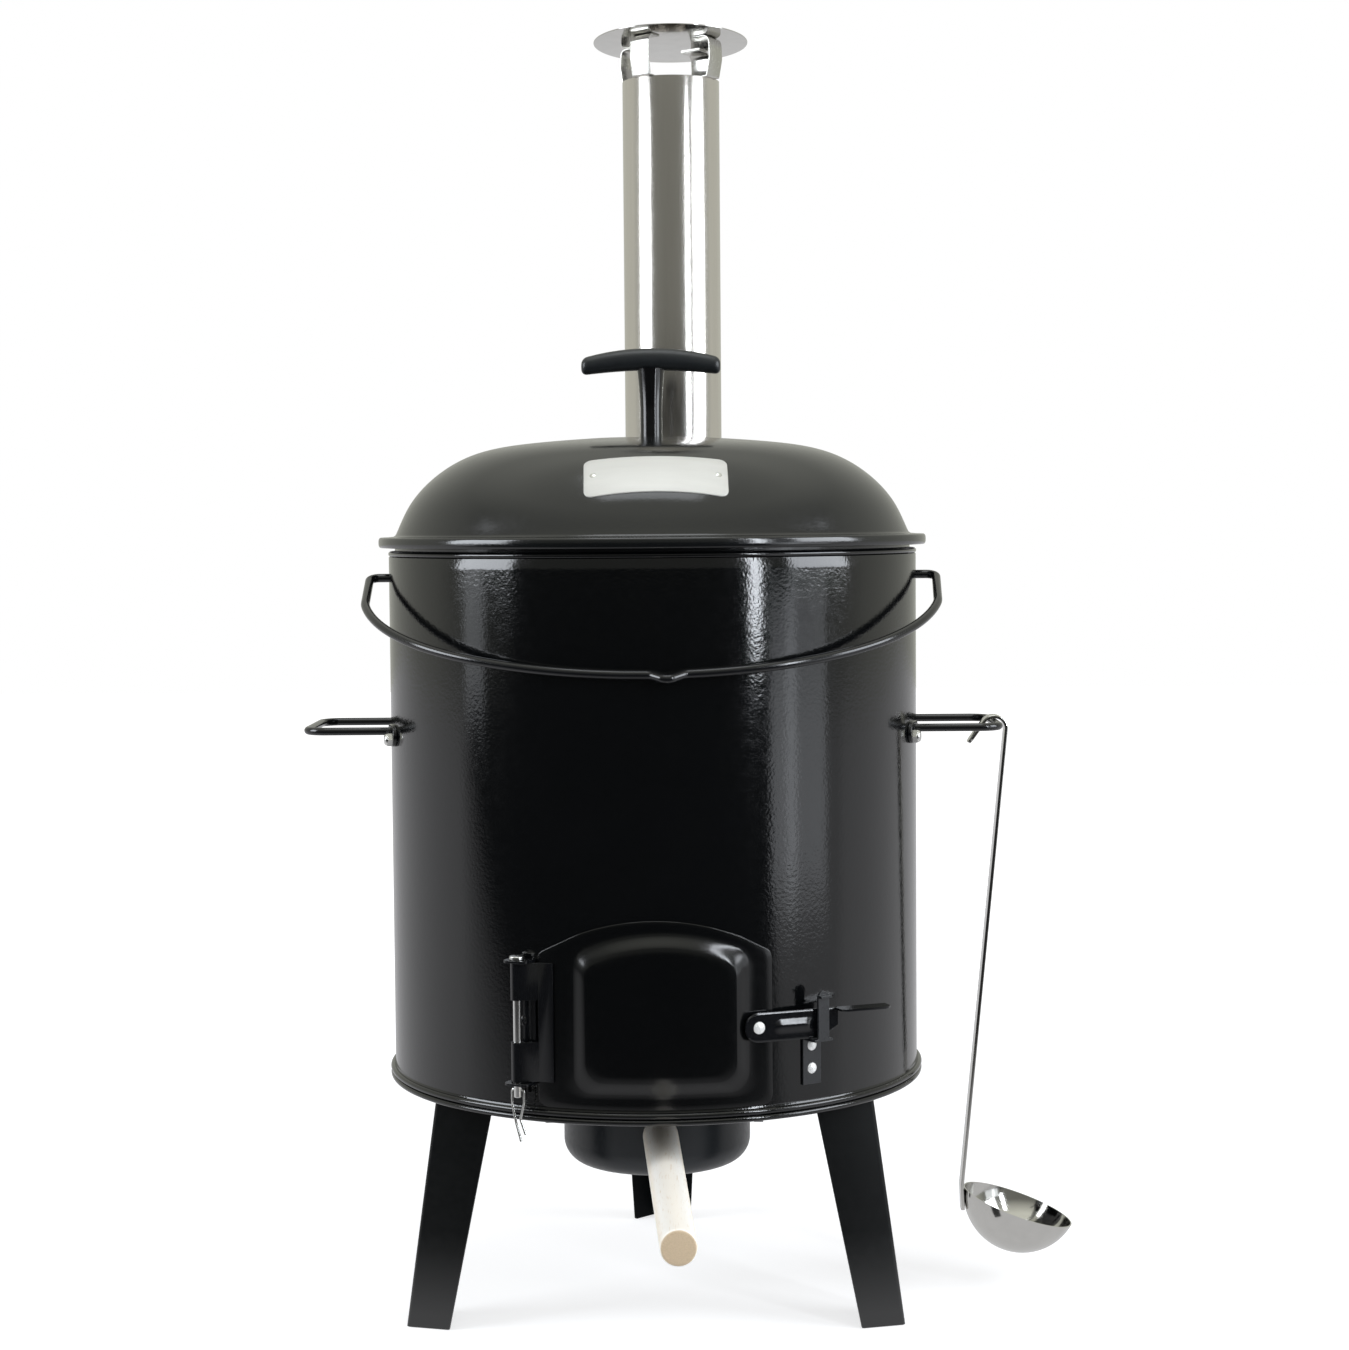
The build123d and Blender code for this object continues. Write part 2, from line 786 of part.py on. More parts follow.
with BuildPart() as hinge_leaf:
    with BuildSketch(hinge_level):
        Circle(knuckle_radius)
        with BuildLine() as ramp_line:
            Line(ramp_start, (flange_edge.X, flange_edge.Y))
        trace(ramp_line.line, line_width=leaf_sheet)
        with Locations((flange_edge.X, flange_edge.Y)):
            Circle(leaf_sheet / 2)
        Circle(knuckle_bore, mode=Mode.SUBTRACT)
    extrude(amount=leaf_high - leaf_low)
    with BuildSketch(level_plane(hinge_radius, hinge_turn, leaf_cut_low)):
        with Locations((flange_edge.X / 2 - knuckle_radius / 2, 0)):
            Rectangle(flange_edge.X + knuckle_radius, 4 * knuckle_radius)
    extrude(amount=leaf_cut_high - leaf_cut_low, mode=Mode.SUBTRACT)
    with BuildSketch(flange_plane):
        Rectangle(leaf_flange, leaf_high - leaf_low)
    extrude(amount=leaf_sheet)
hinge_leaf.part.label = "hinge_leaf"
export_step(hinge_leaf.part, "parts/hinge_leaf.step")

# Hinge pin with a flat head, held by a hairpin clip under the lower ear
clip_height = ear_low - clip_hole_drop
with BuildPart() as hinge_pin:
    with BuildSketch(level_plane(hinge_radius, hinge_turn, ear_low - pin_tail)):
        Circle(pin_radius)
    extrude(amount=ear_high - ear_low + pin_tail)
    with BuildSketch(level_plane(hinge_radius, hinge_turn, ear_high)):
        Circle(pin_head_radius)
    extrude(amount=pin_head_height)
    clip_hole_plane = Plane(
        origin=around(hinge_radius, hinge_turn, clip_height), z_dir=outward(hinge_turn + right_angle)
    )
    with BuildSketch(clip_hole_plane):
        Circle(clip_wire + fit_gap)
    extrude(amount=overrun, both=True, mode=Mode.SUBTRACT)
hinge_pin.part.label = "hinge_pin"
export_step(hinge_pin.part, "parts/hinge_pin.step")

clip_wave_shares = [(0.42, -1.0), (-0.38, -0.66), (-1.0, -0.28), (-1.0, 0.0), (1.0, 0.0), (1.0, -0.26)]
clip_tail_shares = [(0.34, -0.58), (1.2, -0.86)]
with BuildPart() as hinge_clip:
    with BuildLine(wall_plane(hinge_radius, hinge_turn, clip_height)) as clip_line:
        FilletPolyline(
            [
                (across * clip_half_width, along * clip_length)
                for across, along in clip_wave_shares + clip_tail_shares
            ],
            radius=2 * clip_wire,
        )
    with BuildSketch(Plane(origin=clip_line.line @ 0, z_dir=clip_line.line % 0)):
        Circle(clip_wire)
    sweep(path=clip_line.line)
hinge_clip.part.label = "hinge_clip"
export_step(hinge_clip.part, "parts/hinge_clip.step")

# Latch: a ribbed lever with a thumb tab, on a spacer and a rivet through the door
lever_plane = wall_plane(latch_face, latch_turn, latch_height)
with BuildPart() as latch_lever:
    with BuildSketch(lever_plane):
        Circle(lever_half_height)
        Polygon(
            (0, -lever_half_height),
            (tab_start - lever_half_height, -lever_half_height),
            (lever_reach, lever_half_height - 2 * lever_end_half_height),
            (lever_reach, lever_half_height),
            (0, lever_half_height),
            align=None,
        )
    extrude(amount=lever_sheet)
    with BuildSketch(lever_plane.offset(lever_sheet)):
        with Locations(((rib_start + rib_end) / 2, 0)):
            SlotCenterToCenter(rib_end - rib_start, 2 * rib_radius)
    extrude(amount=rib_rise)
    with BuildSketch(level_plane(latch_face, latch_turn, latch_height + lever_half_height)) as tab:
        with Locations(((tab_start + tab_end) / 2, -tab_depth / 2)):
            Rectangle(tab_end - tab_start, tab_depth)
        fillet(tab.vertices().group_by(Axis.Y)[0], radius=tab_corner)
    extrude(amount=-lever_sheet)
    with BuildSketch(lever_plane):
        Circle(latch_rivet_radius + pin_clearance)
    extrude(amount=lever_sheet, mode=Mode.SUBTRACT)
latch_lever.part.label = "latch_lever"
export_step(latch_lever.part, "parts/latch_lever.step")

with BuildPart() as latch_spacer_ring:
    with BuildSketch(wall_plane(door_outer, latch_turn, latch_height)):
        Circle(spacer_radius)
        Circle(latch_rivet_radius + fit_gap, mode=Mode.SUBTRACT)
    extrude(amount=latch_spacer)
latch_spacer_ring.part.label = "latch_spacer"
export_step(latch_spacer_ring.part, "parts/latch_spacer.step")

latch_rivet_body = rivet(
    latch_rivet_head,
    latch_rivet_head_height,
    latch_rivet_radius,
    lever_sheet + latch_spacer + door_sheet + 2 * fit_gap,
)
with BuildPart() as latch_rivet:
    add(placed(latch_rivet_body, [lever_plane.offset(lever_sheet + fit_gap)]))
latch_rivet.part.label = "latch_rivet"
export_step(latch_rivet.part, "parts/latch_rivet.step")

# Catch on the shell: riveted plate, shelf for the lever and an upright finger with a lip
with BuildPart() as latch_catch:
    with BuildSketch(wall_plane(shell_radius, catch_turn, (catch_bottom + shelf_top) / 2)):
        Rectangle(2 * catch_half_width, shelf_top - catch_bottom)
    extrude(amount=catch_sheet)
    shelf_depth = finger_face - shell_radius + catch_sheet
    with BuildSketch(level_plane(shell_radius, catch_turn, shelf_top)):
        with Locations((0, -shelf_depth / 2)):
            Rectangle(2 * catch_half_width, shelf_depth)
    extrude(amount=-catch_sheet)
    with BuildSketch(wall_plane(finger_face, catch_turn, shelf_top)):
        with Locations((0, (finger_top - shelf_top) / 2)):
            Rectangle(2 * finger_half_width, finger_top - shelf_top)
    extrude(amount=catch_sheet)
    with BuildSketch(wall_plane(finger_face, catch_turn, finger_top)):
        Circle(finger_half_width)
    extrude(amount=catch_sheet)
    with BuildSketch(level_plane(finger_face, catch_turn, finger_top)):
        with Locations((0, -(catch_sheet + finger_lip) / 2)):
            Rectangle(2 * finger_half_width, catch_sheet + finger_lip)
    extrude(amount=catch_sheet)
    for hole_plane in catch_rivet_planes:
        with BuildSketch(hole_plane):
            Circle(hinge_rivet_radius + fit_gap)
        extrude(amount=-2 * catch_sheet, mode=Mode.SUBTRACT)
latch_catch.part.label = "latch_catch"
export_step(latch_catch.part, "parts/latch_catch.step")

catch_rivet = rivet(
    rivet_head_radius, rivet_head_height, hinge_rivet_radius, catch_sheet + sheet + fit_gap
)
with BuildPart() as catch_rivets:
    add(placed(catch_rivet, catch_rivet_planes))
catch_rivets.part.label = "catch_rivets"
export_step(catch_rivets.part, "parts/catch_rivets.step")

# Side handles: a bent wire loop with a flat foot welded to each end
wire_root = math.sqrt(shell_radius**2 - handle_half_width**2) + foot_sheet / 2
for handle_name, side in (("side_handle_left", -1), ("side_handle_right", 1)):
    with BuildPart() as side_handle:
        with BuildLine(Plane.XY.offset(handle_height)) as handle_line:
            FilletPolyline(
                [
                    (side * wire_root, -handle_half_width),
                    (side * handle_reach, -handle_half_width),
                    (side * handle_reach, handle_half_width),
                    (side * wire_root, handle_half_width),
                ],
                radius=handle_bend,
            )
        with BuildSketch(Plane(origin=handle_line.line @ 0, z_dir=handle_line.line % 0)):
            Circle(handle_wire)
        sweep(path=handle_line.line)
        for turn in (side * foot_turn, side * (back_turn - foot_turn)):
            with BuildSketch(wall_plane(shell_radius, turn, handle_height - foot_bolt_drop / 2)):
                SlotCenterToCenter(2 * foot_half_length, 2 * foot_half_height)
            extrude(amount=foot_sheet)
            with BuildSketch(foot_bolt_plane(turn, shell_radius)):
                Circle(handle_bolt_radius + fit_gap)
            extrude(amount=2 * foot_sheet, mode=Mode.SUBTRACT)
    side_handle.part.label = handle_name
    export_step(side_handle.part, f"parts/{handle_name}.step")

nut_seat = shell_radius + foot_sheet + fit_gap
nut_planes = [foot_bolt_plane(turn, nut_seat) for turn in foot_turns]
with BuildPart() as handle_cap_nuts:
    for nut_plane in nut_planes:
        with BuildSketch(nut_plane):
            RegularPolygon(cap_nut_radius, 6)
        extrude(amount=cap_nut_hex)
        with BuildSketch(nut_plane.offset(cap_nut_hex)):
            Circle(cap_nut_dome)
        extrude(amount=cap_nut_dome / 2)
    fillet(
        handle_cap_nuts.edges()
        .filter_by(GeomType.CIRCLE)
        .filter_by(lambda edge: edge.length < 2.1 * math.pi * cap_nut_dome)
        .filter_by(
            lambda edge: math.hypot(edge.arc_center.X, edge.arc_center.Y)
            > nut_seat + cap_nut_hex + cap_nut_dome / 4
        ),
        radius=cap_nut_dome / 2 - fit_gap,
    )
    for nut_plane in nut_planes:
        with BuildSketch(nut_plane):
            Circle(handle_bolt_radius + fit_gap)
        extrude(amount=cap_nut_hex, mode=Mode.SUBTRACT)
handle_cap_nuts.part.label = "handle_cap_nuts"
export_step(handle_cap_nuts.part, "parts/handle_cap_nuts.step")

with BuildPart() as handle_bolts:
    for turn in foot_turns:
        head_plane = foot_bolt_plane(turn, shell_radius - sheet - seat_gap)
        with BuildSketch(head_plane):
            Circle(cap_nut_dome)
        extrude(amount=-wall_head_height)
        with BuildSketch(head_plane):
            Circle(handle_bolt_radius)
        extrude(amount=sheet + seat_gap + foot_sheet + cap_nut_hex)
handle_bolts.part.label = "handle_bolts"
export_step(handle_bolts.part, "parts/handle_bolts.step")

# Flue elbow: stub through the back wall, bend, and an upright spigot with a stop ring
elbow_line_plane = Plane(origin=(0, 0, 0), x_dir=outward(flue_turn), z_dir=outward(flue_turn - right_angle))
chimney_axis = Axis(around(chimney_distance, flue_turn, 0), (0, 0, 1))
stub_start = shell_radius - elbow_start_depth
spigot_height = flue_height + spigot_length
stop_ring_height = spigot_height - stop_ring_drop
elbow_points = [
    (stub_start, flue_height),
    (chimney_distance, flue_height),
    (chimney_distance, spigot_height),
]
with BuildPart() as flue_elbow:
    with BuildLine(elbow_line_plane) as elbow_line:
        FilletPolyline(elbow_points, radius=elbow_bend)
    with BuildSketch(wall_plane(stub_start, flue_turn, flue_height)):
        Circle(elbow_radius)
        Circle(elbow_radius - elbow_sheet, mode=Mode.SUBTRACT)
    sweep(path=elbow_line.line)
    with BuildSketch(level_plane(chimney_distance, flue_turn, stop_ring_height)):
        Circle(elbow_radius + stop_ring_width)
        Circle(elbow_radius - elbow_sheet / 2, mode=Mode.SUBTRACT)
    extrude(amount=-stop_ring_thickness)
flue_elbow.part.label = "flue_elbow"
export_step(flue_elbow.part, "parts/flue_elbow.step")

# Flue collar: a curved washer that seals and holds the stub on the wall
with BuildPart() as flue_collar:
    with BuildSketch(flue_axis):
        Circle(collar_radius)
        Circle(elbow_radius + fit_gap, mode=Mode.SUBTRACT)
    extrude(amount=shell_radius + overrun)
    add(
        ring(
            shell_radius,
            shell_radius + collar_sheet,
            flue_height - collar_radius - overrun,
            flue_height + collar_radius + overrun,
        ),
        mode=Mode.INTERSECT,
    )
    for hole_plane in collar_rivet_planes:
        with BuildSketch(hole_plane):
            Circle(collar_rivet_radius + fit_gap)
        extrude(amount=overrun, both=True, mode=Mode.SUBTRACT)
flue_collar.part.label = "flue_collar"
export_step(flue_collar.part, "parts/flue_collar.step")

collar_rivet = rivet(
    rivet_head_radius, rivet_head_height, collar_rivet_radius, collar_sheet + sheet + fit_gap
)
with BuildPart() as collar_rivets:
    add(placed(collar_rivet, collar_rivet_planes))
collar_rivets.part.label = "collar_rivets"
export_step(collar_rivets.part, "parts/collar_rivets.step")

# Chimney pipe: stainless tube that slips over the elbow's spigot
pipe_inner = elbow_radius + chimney_clearance
pipe_outer = pipe_inner + chimney_sheet
with BuildPart() as chimney_pipe:
    with BuildSketch(level_plane(chimney_distance, flue_turn, stop_ring_height)):
        Circle(pipe_outer)
        Circle(pipe_inner, mode=Mode.SUBTRACT)
    extrude(amount=chimney_top - stop_ring_height)
chimney_pipe.part.label = "chimney_pipe"
export_step(chimney_pipe.part, "parts/chimney_pipe.step")

# Rain cap: a disc on folded straps that plug into the pipe's mouth
cap_centre = around(chimney_distance, flue_turn, cap_height)
cap_plane = Plane(origin=cap_centre, x_dir=(1, 0, 0), z_dir=(0, 0, 1)).rotated((-cap_tilt, 0, 0))
with BuildPart() as cap_disc:
    with BuildSketch(cap_plane):
        Circle(cap_disc_radius)
    extrude(amount=cap_disc_sheet)
cap_disc.part.label = "cap_disc"
export_step(cap_disc.part, "parts/cap_disc.step")

strap_radius = pipe_outer + cap_strap_outset
insert_radius = pipe_inner - cap_strap_clearance - cap_strap_sheet
chord_drop = pipe_inner - math.sqrt(pipe_inner**2 - (cap_strap_width / 2) ** 2)
step_top = chimney_top + cap_strap_sheet
mouth_plane = Plane(
    origin=around(chimney_distance, flue_turn, chimney_top), x_dir=(1, 0, 0), z_dir=(0, 0, 1)
)
strap_first = cap_strap_turn - right_angle
with BuildPart() as cap_straps:
    with BuildSketch(mouth_plane):
        with PolarLocations(strap_radius + cap_strap_sheet / 2, cap_strap_count, strap_first):
            Rectangle(cap_strap_sheet, cap_strap_width)
    extrude(amount=cap_height - chimney_top + cap_disc_radius * math.sin(math.radians(cap_tilt)))
    with BuildSketch(cap_plane):
        Circle(2 * cap_disc_radius)
    extrude(amount=overrun, mode=Mode.SUBTRACT)
    with BuildSketch(cap_plane):
        with PolarLocations(
            strap_radius + cap_strap_sheet - cap_tab_length / 2, cap_strap_count, strap_first
        ):
            Rectangle(cap_tab_length, cap_strap_width)
    extrude(amount=-cap_strap_sheet)
    ledge_inner = insert_radius - chord_drop
    ledge_length = strap_radius + cap_strap_sheet - ledge_inner
    with BuildSketch(mouth_plane):
        with PolarLocations(ledge_inner + ledge_length / 2, cap_strap_count, strap_first):
            Rectangle(ledge_length, cap_strap_width)
    extrude(amount=cap_strap_sheet)
    with BuildSketch(mouth_plane):
        with PolarLocations(ledge_inner + cap_strap_sheet / 2, cap_strap_count, strap_first):
            Rectangle(cap_strap_sheet, cap_strap_width)
    extrude(amount=-cap_strap_insert)
cap_straps.part.label = "cap_straps"
export_step(cap_straps.part, "parts/cap_straps.step")

# Pot: deep enamelled kettle that hangs by its rim on the shell's top edge
rim_top = shell_top + pot_rim_sheet
with BuildPart() as pot:
    with BuildSketch(Plane.XZ):
        with BuildLine():
            pot_base = Line((0, pot_bottom), (pot_radius - pot_corner, pot_bottom))
            pot_bend = TangentArc(
                pot_base @ 1, (pot_radius, pot_bottom + pot_corner), tangent=pot_base % 1
            )
            pot_wall = Line(pot_bend @ 1, (pot_radius, shell_top))
            pot_flange = Line(pot_wall @ 1, (pot_rim_radius, shell_top))
            Line(pot_flange @ 1, (pot_rim_radius, rim_top))
            Line((pot_rim_radius, rim_top), (pot_radius - pot_sheet, rim_top))
            inner_wall = Line(
                (pot_radius - pot_sheet, rim_top), (pot_radius - pot_sheet, pot_bottom + pot_corner)
            )
            inner_bend = TangentArc(
                inner_wall @ 1,
                (pot_radius - pot_corner, pot_bottom + pot_sheet),
                tangent=inner_wall % 1,
            )
            inner_base = Line(inner_bend @ 1, (0, pot_bottom + pot_sheet))
            Line(inner_base @ 1, pot_base @ 0)
        make_face()
        with Locations((pot_rim_radius, shell_top + pot_bead)):
            Circle(pot_bead)
    revolve(axis=Axis.Z)
    for turn in (-right_angle, right_angle):
        for offset_side in (-1, 1):
            with BuildSketch(wall_plane(0, turn, bail_height)):
                with Locations((offset_side * lug_rivet_offset, 0)):
                    Circle(lug_rivet_radius + fit_gap)
            extrude(amount=pot_radius + overrun, mode=Mode.SUBTRACT)
pot.part.label = "pot"
export_step(pot.part, "parts/pot.step")

# Pot lugs: hat-shaped straps on the pot that take the bail's ends
lug_planes = [wall_plane(0, turn, bail_height) for turn in (-right_angle, right_angle)]
with BuildPart() as lug_blank:
    with BuildSketch(lug_planes[0]):
        with Locations((0, 0)):
            Rectangle(2 * lug_foot_half_width, 2 * lug_half_height)
        Rectangle(2 * lug_web_half_width, 2 * lug_half_height, mode=Mode.SUBTRACT)
    extrude(amount=pot_radius + overrun)
    add(
        ring(
            pot_radius,
            pot_radius + lug_sheet,
            bail_height - lug_half_height,
            bail_height + lug_half_height,
        ),
        mode=Mode.INTERSECT,
    )

with BuildPart() as pot_lugs:
    for turn, lug_plane in zip((-right_angle, right_angle), lug_planes):
        add(lug_blank.part.rotate(Axis.Z, turn + right_angle))
        for offset_side in (-1, 1):
            with BuildSketch(lug_plane.offset(pot_radius)):
                with Locations((offset_side * (lug_web_half_width + lug_sheet / 2), 0)):
                    Rectangle(lug_sheet, 2 * lug_half_height)
            extrude(amount=lug_web_radius - pot_radius)
            with BuildSketch(lug_plane.offset(pot_radius)):
                with Locations((offset_side * lug_rivet_offset, 0)):
                    Circle(lug_rivet_radius + fit_gap)
            extrude(amount=2 * lug_sheet, both=True, mode=Mode.SUBTRACT)
        with BuildSketch(lug_plane.offset(lug_web_radius)):
            Rectangle(2 * (lug_web_half_width + lug_sheet), 2 * lug_half_height)
            Circle(bail_wire + bail_clearance, mode=Mode.SUBTRACT)
        extrude(amount=-lug_sheet)
pot_lugs.part.label = "pot_lugs"
export_step(pot_lugs.part, "parts/pot_lugs.step")

lug_rivet_seat = math.sqrt(pot_radius**2 - lug_rivet_offset**2) + lug_sheet
lug_rivet = rivet(
    small_rivet_head_radius, small_rivet_head_height, lug_rivet_radius, lug_sheet + 2 * pot_sheet
)
with BuildPart() as lug_rivets:
    for lug_plane in lug_planes:
        for offset_side in (-1, 1):
            seat = lug_plane.from_local_coords(
                Vector(offset_side * lug_rivet_offset, 0, lug_rivet_seat + seat_gap)
            )
            add(placed(lug_rivet, [Plane(origin=seat, z_dir=lug_plane.z_dir)]))
lug_rivets.part.label = "lug_rivets"
export_step(lug_rivets.part, "parts/lug_rivets.step")

# Bail: one bent wire with a hook notch, leaning on the shell's front
bail_apex = (shell_radius + bail_wire + bail_rest_gap) / math.cos(math.radians(bail_hang_angle))
crown_centre = bail_apex - bail_crown_radius
crown_end = bail_crown_radius * math.cos(math.radians(bail_crown_angle))
shoulder_across = crown_end * (1 - bail_shoulder_radius / bail_crown_radius)
shoulder_along = crown_centre + (bail_crown_radius - bail_shoulder_radius) * math.sin(
    math.radians(bail_crown_angle)
)
hang = math.radians(bail_hang_angle)
bail_plane = Plane(
    origin=(0, 0, bail_height), x_dir=(1, 0, 0), z_dir=(0, math.sin(hang), -math.cos(hang))
)


def on_crown(across):
    """Point of the bail's middle arc at a distance from its centre line."""
    return (across, crown_centre + math.sqrt(bail_crown_radius**2 - across**2))


def on_shoulder(across):
    """Point of the bail's outer arc on either side."""
    beyond = abs(across) - shoulder_across
    return (across, shoulder_along + math.sqrt(bail_shoulder_radius**2 - beyond**2))


def corners_at(line, centre, distance):
    """Corners of a line that lie at a distance along X from a centre."""
    return line.vertices().filter_by(
        lambda corner: math.isclose(abs(corner.X - centre), distance, abs_tol=fit_gap)
    )


with BuildPart() as bail:
    with BuildLine(bail_plane) as bail_line:
        for side in (-1, 1):
            shoulder_start = on_shoulder(side * bail_shoulder_half_width)
            notch_edge = on_crown(notch_offset + side * notch_half_width)
            FilletPolyline(
                [(side * bail_pin_end, 0), (side * bail_half_width, 0), shoulder_start],
                radius=bail_end_bend,
            )
            ThreePointArc(
                shoulder_start,
                on_shoulder(side * (bail_shoulder_half_width + crown_end) / 2),
                on_crown(side * crown_end),
            )
            ThreePointArc(
                on_crown(side * crown_end),
                on_crown((side * crown_end + notch_edge[0]) / 2),
                notch_edge,
            )
            Line(notch_edge, (notch_offset, on_crown(notch_offset)[1] + notch_depth))
        fillet(corners_at(bail_line, 0, bail_shoulder_half_width), radius=bail_shoulder_bend)
        fillet(corners_at(bail_line, notch_offset, notch_half_width), radius=notch_mouth_bend)
        fillet(corners_at(bail_line, notch_offset, 0), radius=notch_bend)
    bail_path = bail_line.wires()[0]
    with BuildSketch(Plane(origin=bail_path @ 0, z_dir=bail_path % 0)):
        Circle(bail_wire)
    sweep(path=bail_path)
bail.part.label = "bail"
export_step(bail.part, "parts/bail.step")


# Lid: spun dome with a sunk crown, a flared foot with a rolled brim, and an inner band
lid_crown_height = lid_top - lid_crown_drop
lid_knee_height = lid_crown_height - lid_knee_drop
lid_haunch_height = lid_knee_height - lid_haunch_drop
lid_side_height = lid_haunch_height - lid_side_drop
lid_foot_height = lid_side_height - lid_foot_drop
lid_flare_height = lid_foot_height - lid_flare_drop
brim_height = lid_flare_height - brim_drop


def draw_dome():
    """Draw the dome's outer line in the open line block, from the crown to the foot."""
    crown = ThreePointArc(
        (lid_recess_edge_radius, lid_top),
        (lid_crown_radius, lid_crown_height),
        (lid_knee_radius, lid_knee_height),
    )
    haunch = TangentArc(crown @ 1, (lid_haunch_radius, lid_haunch_height), tangent=crown % 1)
    side = Line(haunch @ 1, (lid_side_radius, lid_side_height))
    return TangentArc(side @ 1, (lid_foot_radius, lid_foot_height), tangent=side % 1)


recess_height = lid_top - lid_recess_depth
band_base = rim_top + band_gap
band_top = lid_flare_height - lid_sheet / 2
with BuildPart() as lid_shell:
    with BuildSketch(Plane.XZ):
        with BuildLine():
            recess = Line((0, recess_height), (lid_recess_radius, recess_height))
            Line(recess @ 1, (lid_recess_edge_radius, lid_top))
            dome_foot = draw_dome()
            ThreePointArc(
                dome_foot @ 1,
                (band_radius - band_sheet / 2, lid_flare_height),
                (brim_radius, brim_height + brim_join),
            )
            offset(amount=lid_sheet, side=Side.RIGHT)
        make_face()
        with Locations((brim_radius, brim_height)):
            Circle(brim_bead)
        with Locations((band_radius - band_sheet / 2, (band_base + band_top) / 2)):
            Rectangle(band_sheet, band_top - band_base)
    revolve(axis=Axis.Z)
    with BuildSketch(Plane.XY.offset(recess_height)):
        Circle(stem_screw_radius + fit_gap)
    extrude(amount=-2 * lid_sheet, mode=Mode.SUBTRACT)

# Bare plate, bent to the dome, with a rivet near each end
plate_lean = math.radians(plate_slope)
plate_plane = Plane(
    origin=around(plate_centre_radius, plate_turn, lid_top - plate_centre_drop),
    x_dir=outward(plate_turn + right_angle),
    z_dir=outward(plate_turn) * math.sin(plate_lean) + Vector(0, 0, math.cos(plate_lean)),
)
with BuildPart() as dome_core:
    with BuildSketch(Plane.XZ):
        with BuildLine():
            core_foot = draw_dome()
            Polyline(
                core_foot @ 1, (0, lid_foot_height), (0, lid_top), (lid_recess_edge_radius, lid_top)
            )
        make_face()
    revolve(axis=Axis.Z)

with BuildPart() as lid_plate:
    with BuildSketch(plate_plane.offset(-overrun)):
        RectangleRounded(plate_width, plate_height, plate_corner)
    extrude(amount=2 * overrun)
    add(dome_core.part.moved(Location(plate_plane.z_dir * plate_sheet)), mode=Mode.INTERSECT)
    add(dome_core.part, mode=Mode.SUBTRACT)


def plate_rivet_plane(side):
    """Plane on the plate's face where a rivet sits."""
    start = plate_plane.from_local_coords(Vector(side * plate_rivet_half_pitch, 0, overrun))
    hits = lid_plate.part.find_intersection_points(Axis(start, -plate_plane.z_dir))
    point, normal = max(hits, key=lambda hit: hit[0].dot(plate_plane.z_dir))
    facing = math.copysign(1, normal.dot(plate_plane.z_dir))
    return Plane(origin=point, z_dir=normal * facing)


plate_rivet_planes = [plate_rivet_plane(side) for side in (-1, 1)]
for holed in (lid_plate, lid_shell):
    with holed:
        for hole_plane in plate_rivet_planes:
            with BuildSketch(hole_plane):
                Circle(plate_rivet_radius + fit_gap)
            extrude(amount=overrun, both=True, mode=Mode.SUBTRACT)
lid_shell.part.label = "lid_shell"
export_step(lid_shell.part, "parts/lid_shell.step")
lid_plate.part.label = "lid_plate"
export_step(lid_plate.part, "parts/lid_plate.step")

plate_rivet = rivet(
    plate_rivet_head_radius,
    plate_rivet_head_height,
    plate_rivet_radius,
    plate_sheet + lid_sheet + seat_gap,
)
with BuildPart() as lid_plate_rivets:
    add(placed(plate_rivet, plate_rivet_planes))
lid_plate_rivets.part.label = "lid_plate_rivets"
export_step(lid_plate_rivets.part, "parts/lid_plate_rivets.step")

# Lid grip: arched bar, thickest in the middle, with rounded ends
bar_height = lid_top + bar_rise_above_lid
grip_shares = [(-1, 0.76), (-0.5, 0.95), (0, 1), (0.5, 0.95), (1, 0.76)]
screw_top = bar_height + bar_rise - stem_screw_cover
with BuildPart() as lid_grip:
    for along, size in grip_shares:
        station = Plane(
            origin=(along * bar_half_length, 0, bar_height - bar_droop * along**2),
            x_dir=(0, 1, 0),
            z_dir=(1, 0, 0),
        )
        with BuildSketch(station):
            Ellipse(size * bar_depth, size * bar_rise)
    loft()
    grip_ends = lid_grip.faces().filter_by(GeomType.PLANE)
    fillet(grip_ends.edges(), radius=bar_end_fillet)
    with BuildSketch(Plane.XY.offset(screw_top + fit_gap)):
        Circle(stem_screw_radius + fit_gap)
    extrude(amount=-overrun, mode=Mode.SUBTRACT)
lid_grip.part.label = "lid_grip"
export_step(lid_grip.part, "parts/lid_grip.step")

# Stem: tube that flares to the grip, its top hollowed to the grip's underside
stem_bore = stem_screw_radius + fit_gap
stem_top = bar_height - bar_rise / 2
with BuildPart() as lid_stem:
    with BuildSketch(Plane.XZ):
        with BuildLine():
            Polyline(
                (stem_bore, recess_height),
                (stem_radius, recess_height),
                (stem_radius, lid_top + stem_flare_rise),
                (stem_top_radius, stem_top),
                (stem_bore, stem_top),
                close=True,
            )
        make_face()
    revolve(axis=Axis.Z)
    add(lid_grip.part, mode=Mode.SUBTRACT)
lid_stem.part.label = "lid_stem"
export_step(lid_stem.part, "parts/lid_stem.step")

# Screw and washer that hold the stem and the grip from inside the lid
washer_top = recess_height - lid_sheet
with BuildPart() as lid_washer:
    with BuildSketch(Plane.XY.offset(washer_top)):
        Circle(stem_washer_radius)
        Circle(stem_bore, mode=Mode.SUBTRACT)
    extrude(amount=-stem_washer_sheet)
lid_washer.part.label = "lid_washer"
export_step(lid_washer.part, "parts/lid_washer.step")

screw_seat = washer_top - stem_washer_sheet
with BuildPart() as lid_screw:
    with BuildSketch(Plane.XY.offset(screw_seat)):
        Circle(stem_screw_radius)
    extrude(amount=screw_top - screw_seat)
    with BuildSketch(Plane.XY.offset(screw_seat)):
        RegularPolygon(stem_screw_head_radius, 6)
    extrude(amount=-stem_screw_head)
lid_screw.part.label = "lid_screw"
export_step(lid_screw.part, "parts/lid_screw.step")

